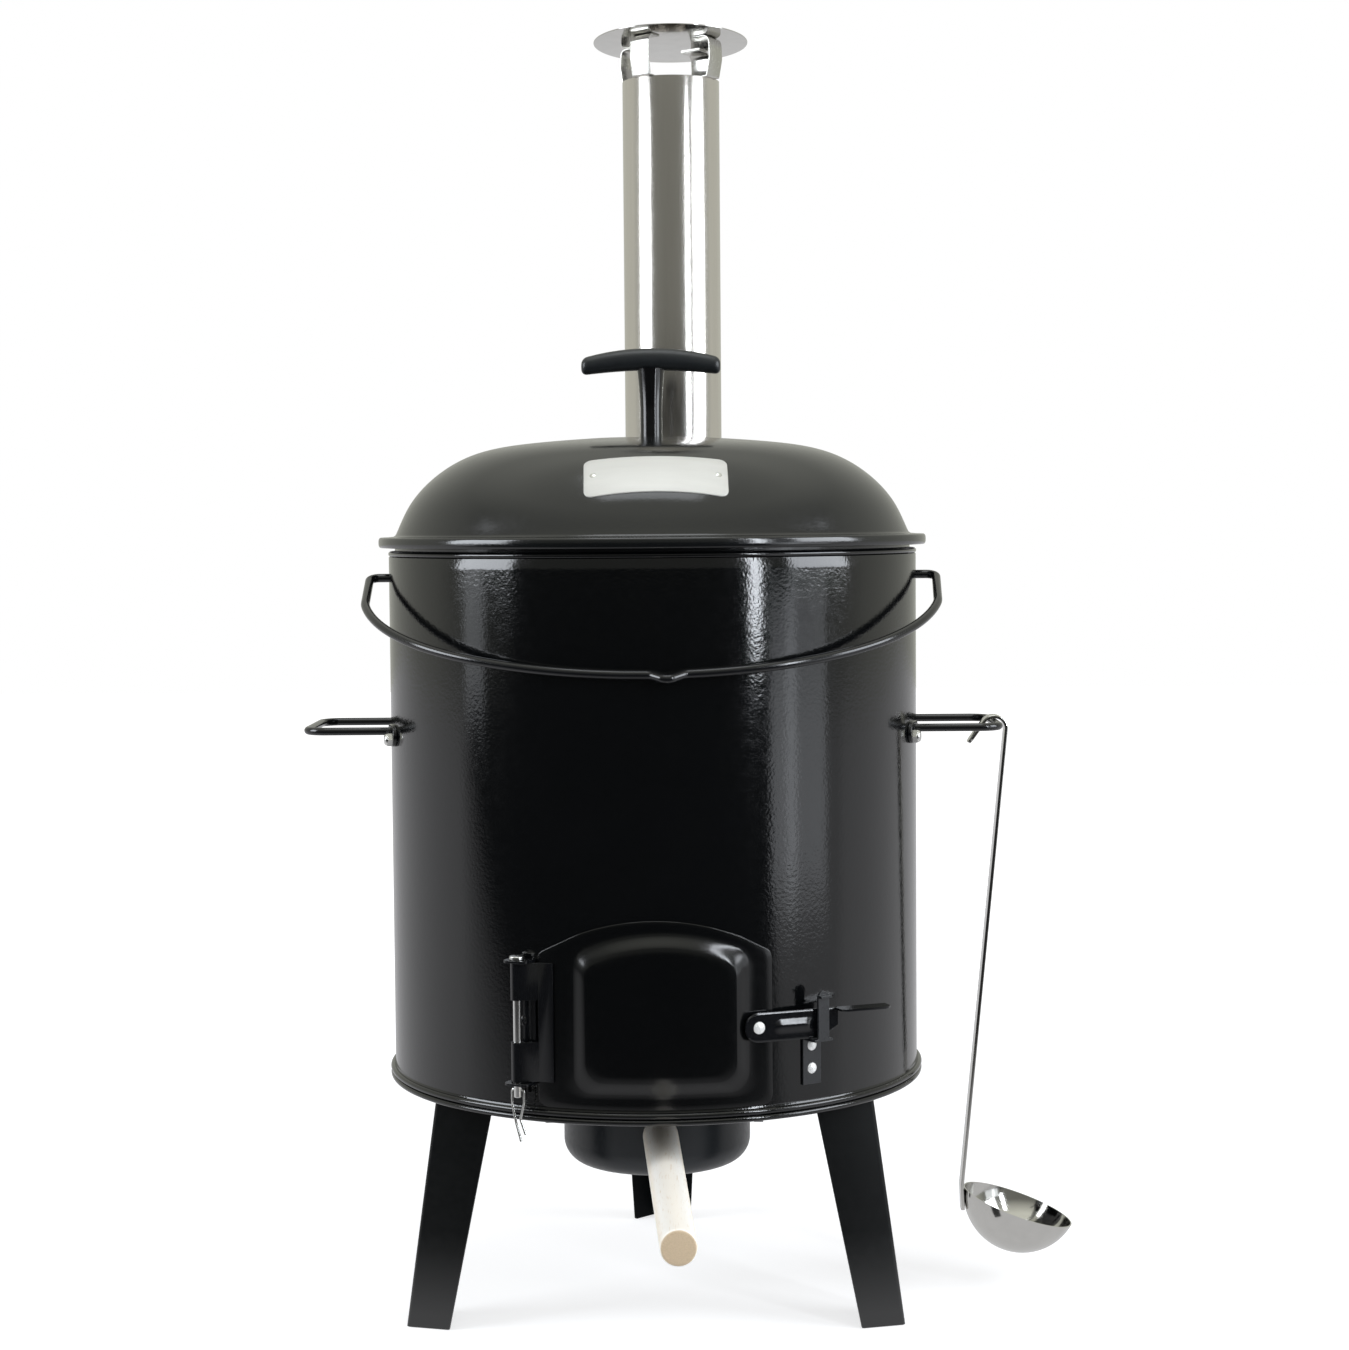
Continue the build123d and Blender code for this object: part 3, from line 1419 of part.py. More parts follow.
# Ladle: hooked strap and round bowl, hung over the outer bar of the right handle
lean = math.radians(ladle_lean)
ladle_plane = Plane(
    origin=(handle_reach, 0, handle_height),
    x_dir=(math.cos(lean), 0, -math.sin(lean)),
    z_dir=(0, -1, 0),
)
strap_offset = hook_radius + strap_sheet / 2
hook_centre = handle_wire + hook_gap - hook_radius
end_lean = math.radians(strap_end_lean)
strap_foot = Vector(strap_offset, hook_centre - strap_length)
strap_run = Vector(math.sin(end_lean), -math.cos(end_lean))
strap_out = Vector(math.cos(end_lean), math.sin(end_lean))
strap_end = strap_foot + strap_run * strap_end_length
bowl_centre = (
    strap_foot
    + strap_run * (strap_end_length / 2)
    + strap_out * (strap_sheet / 2 + bowl_radius + fit_gap)
)
bowl_lean = math.radians(ladle_lean + bowl_tilt)
bowl_plane = Plane(
    origin=ladle_plane.from_local_coords(bowl_centre),
    x_dir=(math.cos(bowl_lean), 0, -math.sin(bowl_lean)),
    z_dir=(0, -1, 0),
)
with BuildPart() as ladle_handle:
    with BuildSketch(ladle_plane):
        with BuildLine() as strap_line:
            hook = CenterArc(
                (0, hook_centre), strap_offset, back_turn - hook_tip_angle, hook_tip_angle - back_turn
            )
            PolarLine(hook @ 0, -hook_tip_length, direction=hook % 0)
            FilletPolyline([hook @ 1, strap_foot, strap_end], radius=strap_bend)
        trace(strap_line.line, line_width=strap_sheet)
    extrude(amount=strap_half_width, both=True)
    strap_corners = ladle_handle.edges().filter_by(
        lambda edge: math.isclose(edge.length, strap_sheet, abs_tol=fit_gap)
    )
    fillet(strap_corners, radius=strap_end_corner)
ladle_handle.part.label = "ladle_handle"
export_step(ladle_handle.part, "parts/ladle_handle.step")

rim_drop = bowl_radius - bowl_depth
bowl_inner = bowl_radius - bowl_sheet
outer_sweep = right_angle - math.degrees(math.asin(rim_drop / bowl_radius))
inner_sweep = right_angle - math.degrees(math.asin(rim_drop / bowl_inner))
with BuildPart() as ladle_bowl:
    with BuildSketch(bowl_plane):
        with BuildLine():
            outer_arc = CenterArc((0, 0), bowl_radius, -right_angle, outer_sweep)
            inner_arc = CenterArc((0, 0), bowl_inner, -right_angle, inner_sweep)
            Line(outer_arc @ 0, inner_arc @ 0)
            Line(outer_arc @ 1, inner_arc @ 1)
        make_face()
    revolve(axis=Axis(bowl_plane.origin, bowl_plane.y_dir))
ladle_bowl.part.label = "ladle_bowl"
export_step(ladle_bowl.part, "parts/ladle_bowl.step")
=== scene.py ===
import bpy
import bmesh
import math
import numpy as np
from mathutils import Matrix, Vector


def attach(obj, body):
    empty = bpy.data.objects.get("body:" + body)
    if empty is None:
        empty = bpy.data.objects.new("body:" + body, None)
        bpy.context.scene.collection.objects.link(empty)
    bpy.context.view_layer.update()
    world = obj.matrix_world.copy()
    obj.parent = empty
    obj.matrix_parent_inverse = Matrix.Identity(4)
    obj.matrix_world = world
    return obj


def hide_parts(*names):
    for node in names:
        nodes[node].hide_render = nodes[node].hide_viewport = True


# Cauldron stove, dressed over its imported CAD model. Sizes are written in mm and meshes are in metres.
# A turn is an angle about the stove's axis, in degrees, from the front (-Y) towards +X.
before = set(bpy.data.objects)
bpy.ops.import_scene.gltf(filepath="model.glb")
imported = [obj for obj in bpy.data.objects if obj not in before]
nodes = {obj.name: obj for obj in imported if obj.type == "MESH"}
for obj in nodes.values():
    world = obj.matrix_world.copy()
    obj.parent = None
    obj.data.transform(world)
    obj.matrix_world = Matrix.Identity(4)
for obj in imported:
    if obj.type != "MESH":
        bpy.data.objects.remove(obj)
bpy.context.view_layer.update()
mm = 0.001
tiny = 1e-9  # slack for rounding
quarter = math.pi / 2
up = np.array([0.0, 0.0, 1.0])
print("frame loaded:", len(nodes), "nodes")


# Small geometry tools
def outward(turn):
    # Unit vector that points away from the stove's axis at a turn
    angle = np.radians(turn)
    return np.array([np.sin(angle), -np.cos(angle), 0.0])


def aboutAxis(turn, radius, height):
    # Points at turns, radii and heights: (r sin t, -r cos t, h)
    angle = np.radians(turn)
    return np.stack([radius * np.sin(angle), -radius * np.cos(angle), height + 0 * angle], axis=-1)


def laid(flat, first, second):
    # Flat points laid along two unit vectors: x first + y second
    return flat[..., :1] * first + flat[..., 1:2] * second


def onWall(points, radius, turn, height):
    # Local x runs right along the wall, y up and z outwards, from a place at that radius, turn and height
    place = outward(turn) * radius + up * height
    return place + laid(points, outward(turn + 90), up) + points[..., 2:] * outward(turn)


def bentOnWall(points, radius, turn):
    # As onWall, but laid round a cylinder of that radius: depth = sqrt((radius + z)^2 - x^2)
    depth = np.sqrt((radius + points[..., 2:]) ** 2 - points[..., :1] ** 2)
    return depth * outward(turn) + laid(points, outward(turn + 90), up)


def unit(vectors):
    # The same directions with length 1
    return vectors / np.linalg.norm(vectors, axis=-1, keepdims=True)


def withDepth(flat, depth):
    # Flat points that all get the same third value
    return np.concatenate([flat, np.full((len(flat), 1), float(depth))], axis=1)


def arc(radius, start, end, count, centre=(0, 0)):
    # Points of an arc between two angles: centre + (r cos a, r sin a)
    angle = np.linspace(start, end, count)
    return radius * np.stack([np.cos(angle), np.sin(angle)], axis=1) + centre


def circle(radius, count, centre=(0, 0)):
    # Points of a circle, the last one a step before the first
    return arc(radius, 0, 2 * np.pi, count + 1, centre)[:-1]


def tangentArc(start, heading, end, count):
    # Arc that leaves start along heading and ends at end: start + R sin(t) heading + R (1 - cos(t)) normal
    start, end = np.asarray(start, float), np.asarray(end, float)
    heading = unit(np.asarray(heading, float))
    normal = np.array([-heading[1], heading[0]])
    chord = end - start
    rise, run = chord @ normal, chord @ heading
    if abs(rise) < tiny:
        return start + np.linspace(0, 1, count)[:, None] * chord
    radius = (chord @ chord) / (2 * rise)
    turn = np.linspace(0, 2 * math.atan2(abs(rise), run), count)[:, None]
    return start + abs(radius) * np.sin(turn) * heading + radius * (1 - np.cos(turn)) * normal


def roundedPath(corners, radii, count=10, closed=False):
    # Straight runs joined by arcs: each corner of a radius r is cut back by r tan(bend / 2)
    corners = [np.asarray(corner, float) for corner in corners]
    radii = list(radii) if hasattr(radii, "__len__") else [radii] * len(corners)
    pieces = []
    for place, corner in enumerate(corners):
        if not closed and place in (0, len(corners) - 1):
            pieces.append(corner[None])
            continue
        arrive = unit(corner - corners[place - 1])
        leave = unit(corners[(place + 1) % len(corners)] - corner)
        cut = radii[place] * math.tan(math.acos(np.clip(arrive @ leave, -1, 1)) / 2)
        pieces.append(tangentArc(corner - arrive * cut, arrive, corner + leave * cut, count))
    return np.vstack(pieces)


def roundedBox(width, depth, corner, count=5):
    # Outline of a rectangle with rounded corners, about the origin
    x, y = width / 2, depth / 2
    return roundedPath([(x, -y), (x, y), (-x, y), (-x, -y)], corner, count, closed=True)


def hoop(inner, outer, low, high, corner, count=4):
    # Profile (radius, height) of a ring of rectangular section, its corners rounded
    return roundedPath([(inner, low), (outer, low), (outer, high), (inner, high)], corner, count, closed=True)


def lengthsAlong(path):
    # Length of a path up to each of its points
    return np.r_[0, np.cumsum(np.linalg.norm(np.diff(path, axis=0), axis=1))]


def pointsAt(path, wanted):
    # Points of a path at the wanted lengths along it
    return np.stack([np.interp(wanted, lengthsAlong(path), values) for values in path.T], axis=-1)


def evenly(path, count, closed=False):
    # The same path with its points at equal steps of length
    if closed:
        path = np.vstack([path, path[:1]])
    return pointsAt(path, np.linspace(0, lengthsAlong(path)[-1], count, endpoint=not closed))


def fairLine(points, count):
    # Natural cubic spline through the points over chord length, so that its curvature runs on smoothly
    points = np.asarray(points, float)
    along = lengthsAlong(points)
    gap, last = np.diff(along), len(points) - 1
    inside = np.arange(1, last)
    matrix, change = np.eye(last + 1), np.zeros_like(points)
    matrix[inside, inside - 1], matrix[inside, inside + 1] = gap[:-1], gap[1:]
    matrix[inside, inside] = 2 * (gap[:-1] + gap[1:])
    change[inside] = 6 * np.diff(np.diff(points, axis=0) / gap[:, None], axis=0)
    bend = np.linalg.solve(matrix, change)
    wanted = np.linspace(0, along[-1], count)
    k = np.clip(np.searchsorted(along, wanted, side="right") - 1, 0, last - 1)
    u, v, h = (wanted - along[k])[:, None], (along[k + 1] - wanted)[:, None], gap[k][:, None]
    return (bend[k] * v ** 3 + bend[k + 1] * u ** 3) / (6 * h) + (points[k] / h - bend[k] * h / 6) * v + (
        points[k + 1] / h - bend[k + 1] * h / 6) * u


def spun(profile, steps):
    # Profile of (radius, height) turned about z: (r cos a, r sin a, h)
    angle = np.linspace(0, 2 * np.pi, steps, endpoint=False)[:, None]
    radius, height = profile[None, :, 0], profile[None, :, 1]
    return np.stack([radius * np.cos(angle), radius * np.sin(angle), height + 0 * angle], axis=-1)


def carried(path, normal, section):
    # Section carried along a flat path: path + first value * sideways + second value * the path's normal
    runs = unit(np.diff(path, axis=0))
    heading = unit(np.vstack([runs[:1], runs[:-1] + runs[1:], runs[-1:]]))
    sideways = np.cross(heading, normal)
    return path[:, None] + section[None, :, :1] * sideways[:, None] + section[None, :, 1:] * normal


def lattice(points, wrapRows=False, wrapColumns=False, capRows=False):
    # Quads between neighbouring points of a grid. Wrapping joins its last row or column to the first.
    rows, columns = points.shape[:2]
    index = np.arange(rows * columns).reshape(rows, columns)
    ends = [index[0].tolist(), index[-1].tolist()] if capRows else []
    if wrapRows:
        index = np.vstack([index, index[:1]])
    if wrapColumns:
        index = np.hstack([index, index[:, :1]])
    corners = [index[:-1, :-1], index[1:, :-1], index[1:, 1:], index[:-1, 1:]]
    return points.reshape(-1, 3), np.stack(corners, axis=-1).reshape(-1, 4), ends


def lathed(profile, steps, closed=False, place=0.0):
    # A profile turned about an upright axis at a place. A closed one's last point joins its first.
    return lattice(spun(profile, steps) + place, wrapRows=True, wrapColumns=closed)


def bar(path, normal, section):
    # A section carried along a path, with flat ends
    return lattice(carried(path, normal, section), wrapColumns=True, capRows=True)


def softPlate(outline, thickness, edge, rings=4):
    # Flat plate from its middle out, round a quarter-round edge, and back to the middle behind
    centre = (outline.max(axis=0) + outline.min(axis=0)) / 2
    reach = outline - centre
    length = np.linalg.norm(reach, axis=1, keepdims=True)
    shares = [0.0] + list(np.linspace(0.25, 1, rings)[:-1])
    rows = [withDepth(centre + reach * share, thickness) for share in shares]
    for angle in np.linspace(0, quarter, 4):
        flat = centre + reach * (1 - edge * (1 - math.sin(angle)) / length)
        rows.append(withDepth(flat, thickness - edge * (1 - math.cos(angle))))
    return np.stack(rows + [withDepth(outline, 0), withDepth(centre + 0 * reach, 0)])


# Distances in metres and angles in degrees for merging, joining and sharpening the faces of a mesh
meshing = {"merge": 2e-6, "degenerate": 1e-7, "flat": 0.6, "sharp": 35, "cadSharp": 32, "bevelFrom": 35}


def addPiece(name, mesh, finish, sharpAngle, body, node):
    # A piece on its body, standing for a CAD node. Its mesh is merged. A CAD copy, which comes with a
    # finish, has its flat triangles joined, and a new mesh has its faces turned outwards.
    work = bmesh.new()
    work.from_mesh(mesh)
    bmesh.ops.remove_doubles(work, verts=work.verts, dist=meshing["merge"])
    if mesh.materials:
        bmesh.ops.dissolve_limit(work, angle_limit=math.radians(meshing["flat"]), verts=work.verts,
                                 edges=work.edges)
        mesh.materials.clear()
    else:
        bmesh.ops.dissolve_degenerate(work, dist=meshing["degenerate"], edges=work.edges)
        bmesh.ops.recalc_face_normals(work, faces=work.faces)
    work.to_mesh(mesh)
    work.free()
    mesh.shade_smooth()
    mesh.set_sharp_from_angle(angle=math.radians(sharpAngle))
    mesh.materials.append(finish)
    piece = bpy.data.objects.new(name, mesh)
    bpy.context.scene.collection.objects.link(piece)
    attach(piece, body)
    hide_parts(node)
    return piece


def putMesh(node, made, parts, finish, body, sharpAngle=meshing["sharp"]):
    # One new piece out of several lattices, named by its node and by how it was made
    name = node + "_" + made
    points, faces, start = [], [], 0
    for partPoints, quads, ends in parts:
        points.append(partPoints)
        faces += (quads + start).tolist() + [[corner + start for corner in end] for end in ends]
        start += len(partPoints)
    mesh = bpy.data.meshes.new(name)
    mesh.from_pydata((np.vstack(points) * mm).tolist(), [], faces)
    addPiece(name, mesh, finish, sharpAngle, body, node)


def softened(node, finish, body, edge):
    # A copy of a CAD node, with its sharp edges broken by a small bevel
    piece = addPiece(node + "_finished", nodes[node].data.copy(), finish, meshing["cadSharp"], body, node)
    bevel = piece.modifiers.new("broken edge", "BEVEL")
    bevel.width = edge * mm
    bevel.segments = 2
    bevel.limit_method = "ANGLE"
    bevel.angle_limit = math.radians(meshing["bevelFrom"])
    bevel.use_clamp_overlap = True


# Finishes
def linear(hexColour):
    # sRGB hex to Blender's linear values
    values = np.array([int(hexColour[place:place + 2], 16) for place in (1, 3, 5)]) / 255
    values = np.where(values <= 0.04045, values / 12.92, ((values + 0.055) / 1.055) ** 2.4)
    return (*values.tolist(), 1.0)


def addNode(tree, kind, inputs=(), **settings):
    # Adds a shader node with its settings. Inputs go by socket in a dictionary, or in the sockets' order in a
    # list, and each is a value, another node for its first output, or a socket.
    item = tree.nodes.new("ShaderNode" + kind)
    for name, value in settings.items():
        setattr(item, name, value)
    for socket, value in (inputs.items() if isinstance(inputs, dict) else enumerate(inputs)):
        if isinstance(value, bpy.types.Node):
            value = value.outputs[0]
        if isinstance(value, bpy.types.NodeSocket):
            tree.links.new(value, item.inputs[socket])
        else:
            item.inputs[socket].default_value = value
    return item


def newFinish(name):
    # An empty material, its tree, and the place on the object that its patterns follow
    finish = bpy.data.materials.new(name)
    finish.use_nodes = True
    finish.node_tree.nodes.clear()
    places = addNode(finish.node_tree, "TexCoord").outputs["Object"]
    return finish, finish.node_tree, places


def mottled(tree, places, size, stretch=(1, 1, 1), detail=2.0):
    # Soft noise whose blotches are about size mm across, drawn out along an axis by stretch
    mapped = addNode(tree, "Mapping", {"Vector": places, "Scale": stretch})
    return addNode(tree, "TexNoise", {"Vector": mapped, "Scale": 1 / (size * mm), "Detail": detail})


def finished(name, colour, second, spread, roughness, metallic=0.0,
             grain=None, stretch=(1, 1, 1), waves=None, specular=0.5, roughSpread=0.0):
    # Two close colours over blotches of spread mm, roughness that varies with them, and one or two bumps.
    # grain and waves are (size mm, depth mm) of the fine texture and of the long unevenness of the sheet.
    finish, tree, places = newFinish(name)
    blotch = mottled(tree, places, spread, stretch)
    tint = addNode(tree, "Mix", {0: blotch, 6: linear(colour), 7: linear(second)}, data_type="RGBA")
    fine = mottled(tree, places, spread / 6, stretch)
    varied = addNode(tree, "MapRange", [fine, 0.3, 0.7, roughness - roughSpread, roughness + roughSpread])
    normal = {}
    for bump in (waves, grain):
        if bump:
            size, depth = bump
            height = mottled(tree, places, size, stretch if bump is grain else (1, 1, 1), 1.0)
            normal = {"Normal": addNode(tree, "Bump", {"Height": height, "Distance": depth * mm, **normal})}
    shader = addNode(tree, "BsdfPrincipled", {"Base Color": tint.outputs[2], "Metallic": metallic,
                     "Roughness": varied, "Specular IOR Level": specular, **normal})
    addNode(tree, "OutputMaterial", [shader])
    return finish


# Vitreous enamel, sprayed and fired: deep black glass with an orange peel of about 2 mm
blackEnamel = finished("black vitreous enamel", "#050607", "#08090a", 40, 0.11,
                       grain=(2.2, 0.065), waves=(30, 0.08), specular=0.62, roughSpread=0.02)
# The same enamel on the spun lid, seen at a grazing angle
lidEnamel = finished("black vitreous enamel, spun lid", "#090b0c", "#0d0f10", 40, 0.15,
                     grain=(2.0, 0.04), waves=(40, 0.06), specular=0.7, roughSpread=0.02)
# The enamel on the pressed door, a little duller where the sheet was drawn
doorEnamel = finished("black vitreous enamel, pressed door", "#040506", "#060708", 30, 0.17,
                      grain=(2.0, 0.012), specular=0.55, roughSpread=0.015)
# Baked powder coat on the legs: satin, with a fine even grain
legCoat = finished("black powder coat, satin", "#050708", "#080a0b", 25, 0.34, grain=(0.9, 0.02),
                   roughSpread=0.04)
# Dipped and baked black on the wire, hinge and latch: glossy, a little thick at the edges
fittingCoat = finished("black dipped lacquer", "#0a0b0d", "#0e0f12", 18, 0.16,
                       grain=(1.2, 0.008), specular=0.6, roughSpread=0.03)
# The same lacquer, lighter grey and more satin, on the catch
lighterCatchCoat = finished("black dipped lacquer, lighter satin", "#16181b", "#1c1e21", 12, 0.30,
                      grain=(1.2, 0.008), specular=0.7, roughSpread=0.03)
# Enamel pan, dulled: satin dark blue-grey
panEnamel = finished("dark grey pan enamel, satin", "#1b1f23", "#22262a", 22, 0.34, grain=(1.1, 0.015),
                     roughSpread=0.05)
# Rolled stainless steel tube, ground along its length: satin, its fine upright grain drawn 0.5 mm wide
pipeSteel = finished("stainless steel, satin ground", "#e3dfda", "#dad6d1", 5, 0.17, metallic=1.0,
                     grain=(0.5, 0.0012), stretch=(1, 1, 0.04), roughSpread=0.02)
# The same steel cut to strips, brushed along them
brushedSteel = finished("stainless steel, brushed strip", "#d0cfc9", "#bfbeb9", 3, 0.24, metallic=1.0,
                        grain=(0.5, 0.003), stretch=(1, 1, 0.1), roughSpread=0.04)
# Bright rolled stainless steel of the rain cap and the ladle
brightSteel = finished("stainless steel, polished", "#d2d1cd", "#c6c5c1", 12, 0.11, metallic=1.0,
                       grain=(1.0, 0.002), waves=(14, 0.02), roughSpread=0.03)
# Nickel plate on bolts, nuts and most rivets, the pin and its clip
nickelPlate = finished("nickel plate", "#e6e6e4", "#d9d9d7", 4, 0.22, metallic=1.0, grain=(0.6, 0.002),
                       roughSpread=0.04)
# Zinc on the latch's rivets: pale, matt white metal
zincPlate = finished("zinc plate, matt", "#f4f4f2", "#e9e9e7", 4, 0.26, metallic=0.3, grain=(0.6, 0.002),
                     roughSpread=0.04)
# Anodised aluminium sheet, brushed along its length with strokes drawn 0.5 mm wide
plateAluminium = finished("anodised aluminium, brushed", "#d0cfc9", "#c4c3bd", 6, 0.5, metallic=0.35,
                          grain=(0.5, 0.003), stretch=(0.05, 1, 1), roughSpread=0.05)
# Moulded phenolic plastic of the grip: satin, faint moulding texture
gripPlastic = finished("phenolic plastic, satin", "#15181a", "#1b1e20", 14, 0.38, grain=(0.8, 0.012),
                       roughSpread=0.04)
# Moulded plastic of the stem: glossy
stemPlastic = finished("moulded plastic, glossy", "#0a0a0b", "#0d0d0e", 14, 0.14, waves=(9, 0.02),
                       roughSpread=0.02)
# Cast iron grate: rough sand skin, heat-greyed
castIron = finished("cast iron, sand skin", "#2b2a29", "#3a3836", 9, 0.62, metallic=0.5, grain=(1.3, 0.12),
                    waves=(8, 0.1), roughSpread=0.08)

# Painted sheen and shade on the leg coat: its specular level over heights in metres, and the share of it that
# is left over depths
legPaintedSheenAndShade = {"heights": (0.01, 0.07), "levels": (0.95, 0.26), "depths": (0.0, 0.1), "shares": (1.0, 0.06)}


def addLegPaintedSheenAndShade():
    # Painted sheen and shade: the coat's specular level is highest at the front feet, as painted sheen, and
    # lowered further up, in the mantle's shade, and behind the stove's axis, as painted shade.
    tree = legCoat.node_tree
    shader = next(item for item in tree.nodes if item.type == "BSDF_PRINCIPLED")
    places = addNode(tree, "TexCoord").outputs["Object"]
    split = addNode(tree, "SeparateXYZ", [places])
    sheen = addNode(tree, "MapRange", [split.outputs[2], *legPaintedSheenAndShade["heights"], *legPaintedSheenAndShade["levels"]])
    behind = addNode(tree, "MapRange", [split.outputs[1], *legPaintedSheenAndShade["depths"], *legPaintedSheenAndShade["shares"]])
    both = addNode(tree, "Math", [sheen, behind], operation="MULTIPLY")
    tree.links.new(both.outputs[0], shader.inputs["Specular IOR Level"])


addLegPaintedSheenAndShade()

# Beech of the ash pan's handle, whose grain runs along the handle at its turn. The rings of a wave of this
# scale are 12 mm apart: 2 pi / (20 scale) metres.
wood = {"turn": 3.2, "lengthwise": 0.06, "ringScale": 26.455, "distortion": 3.0, "fleck": 0.9,
        "fleckRange": (0.58, 0.7), "fleckShare": 0.45, "sawnFrom": 371.2, "sawnTo": 371.7, "poreDepth": 0.02}


def turnedBeech():
    # Turned beech, unvarnished: pale cream, soft rings about 12 mm apart cut lengthwise by the lathe,
    # and short darker ray flecks of about 1 mm along the grain
    finish, tree, places = newFinish("beech, turned and sanded")
    grainTurn = (0, 0, math.radians(-wood["turn"]))
    aligned = addNode(tree, "Mapping", {"Vector": places, "Rotation": grainTurn,
                      "Scale": (1, wood["lengthwise"], 1)})
    ring = addNode(tree, "TexWave", {"Vector": aligned, "Scale": wood["ringScale"],
                   "Distortion": wood["distortion"], "Detail": 2.0, "Detail Scale": 1.2}, wave_type="RINGS",
                   rings_direction="Y").outputs["Fac"]
    fleck = addNode(tree, "TexNoise", {"Vector": aligned, "Scale": 1 / (wood["fleck"] * mm), "Detail": 3.0})
    mask = addNode(tree, "MapRange", [fleck, *wood["fleckRange"], 0.0, wood["fleckShare"]])
    # The sawn end shows open pores, so it is a shade of tan: it lies past sawnFrom mm along the handle
    turned = addNode(tree, "Mapping", {"Vector": places, "Rotation": grainTurn})
    along = addNode(tree, "SeparateXYZ", [turned]).outputs[1]
    sawn = addNode(tree, "MapRange", [along, -wood["sawnFrom"] * mm, -wood["sawnTo"] * mm, 0.0, 1.0])
    pale, pores = (addNode(tree, "Mix", {0: share, 6: linear(first), 7: linear(second)}, data_type="RGBA")
                   for share, first, second in ((ring, "#fefaf1", "#faf1e1"), (fleck, "#c0aa8b", "#dbc5a6")))
    flecked = addNode(tree, "Mix", {0: mask, 6: pale.outputs[2], 7: linear("#dcc5a3")}, data_type="RGBA")
    colour = addNode(tree, "Mix", {0: sawn, 6: flecked.outputs[2], 7: pores.outputs[2]}, data_type="RGBA")
    bump = addNode(tree, "Bump", {"Height": fleck, "Distance": wood["poreDepth"] * mm})
    shader = addNode(tree, "BsdfPrincipled", {"Base Color": colour.outputs[2], "Roughness": 0.55,
                     "Normal": bump})
    addNode(tree, "OutputMaterial", [shader])
    return finish


beech = turnedBeech()
print("finishes made")

# Stove shell: rolled sheet with three kinds of openings and a seamed bead
shell = {
    "radius": 200.0, "sheet": 1.2, "bottom": 175.2, "top": 565.0, "edge": 0.35,
    "beadCircle": 201.4, "beadRadius": 2.3, "beadHeight": 177.5,
    "flare": 1.2, "flareTop": 181.4, "flareRise": 4.0,
    "door": {"halfWidth": 74.5, "bottom": 189.1, "shoulder": 282.5, "peak": 306.9, "corner": 7.0},
    "flueHeight": 458.0, "flueRadius": 39.85, "slotHalfWidth": 6.0, "slotHeight": 548.5,
    # Fields of the sheet's grid that the openings take: middle turn, half angle, low and high
    "doorField": (0.95, 26, 182.0, 315.0), "flueField": (176.9, 15, 410.0, 506.0),
    "slotTurns": (-90, 90), "slotHalfAngle": 4, "slotLow": 534.0,
    # Steps of the grid: degrees between turns, and mm between heights above and in the flare
    "turnStep": 2, "heightStep": 7, "flareStep": 0.4,
}


def archedOutline(halfWidth, bottom, shoulder, peak, corner, inset=0.0):
    # Door shape: straight foot and sides and an arched head, every corner rounded and all of it drawn in by
    # inset. The head's radius is (half width^2 + rise^2) / (2 rise).
    halfWidth, bottom, shoulder, peak = halfWidth - inset, bottom + inset, shoulder - inset, peak - inset
    rise = peak - shoulder
    radius = (halfWidth ** 2 + rise ** 2) / (2 * rise)
    start = math.atan2(radius - rise, halfWidth)
    head = arc(radius, start, math.pi - start, 60, (0, peak - radius))
    head = np.vstack([head[:1], head[8:-8:4], head[-1:]])
    corners = [(-halfWidth, bottom), (halfWidth, bottom), *head]
    headBend = 60.0
    return roundedPath(corners, [corner] * 3 + [headBend] * (len(head) - 2) + [corner], 9, closed=True)


def polarRing(outline, centre, angles):
    # Points of a closed outline seen from centre at the given angles
    offset = evenly(outline, 1600, closed=True) - centre
    bearing = np.arctan2(offset[:, 1], offset[:, 0])
    order = np.argsort(bearing)
    bearing, reach = bearing[order], np.hypot(*offset[order].T)
    bearing = np.concatenate([bearing - 2 * np.pi, bearing, bearing + 2 * np.pi])
    distance = np.interp(angles, bearing, np.tile(reach, 3))
    return centre + distance[:, None] * np.stack([np.cos(angles), np.sin(angles)], axis=1)


def turnOf(across):
    # Turn of a point of the shell that is across mm beside a centre line
    return np.degrees(np.arcsin(across / shell["radius"]))


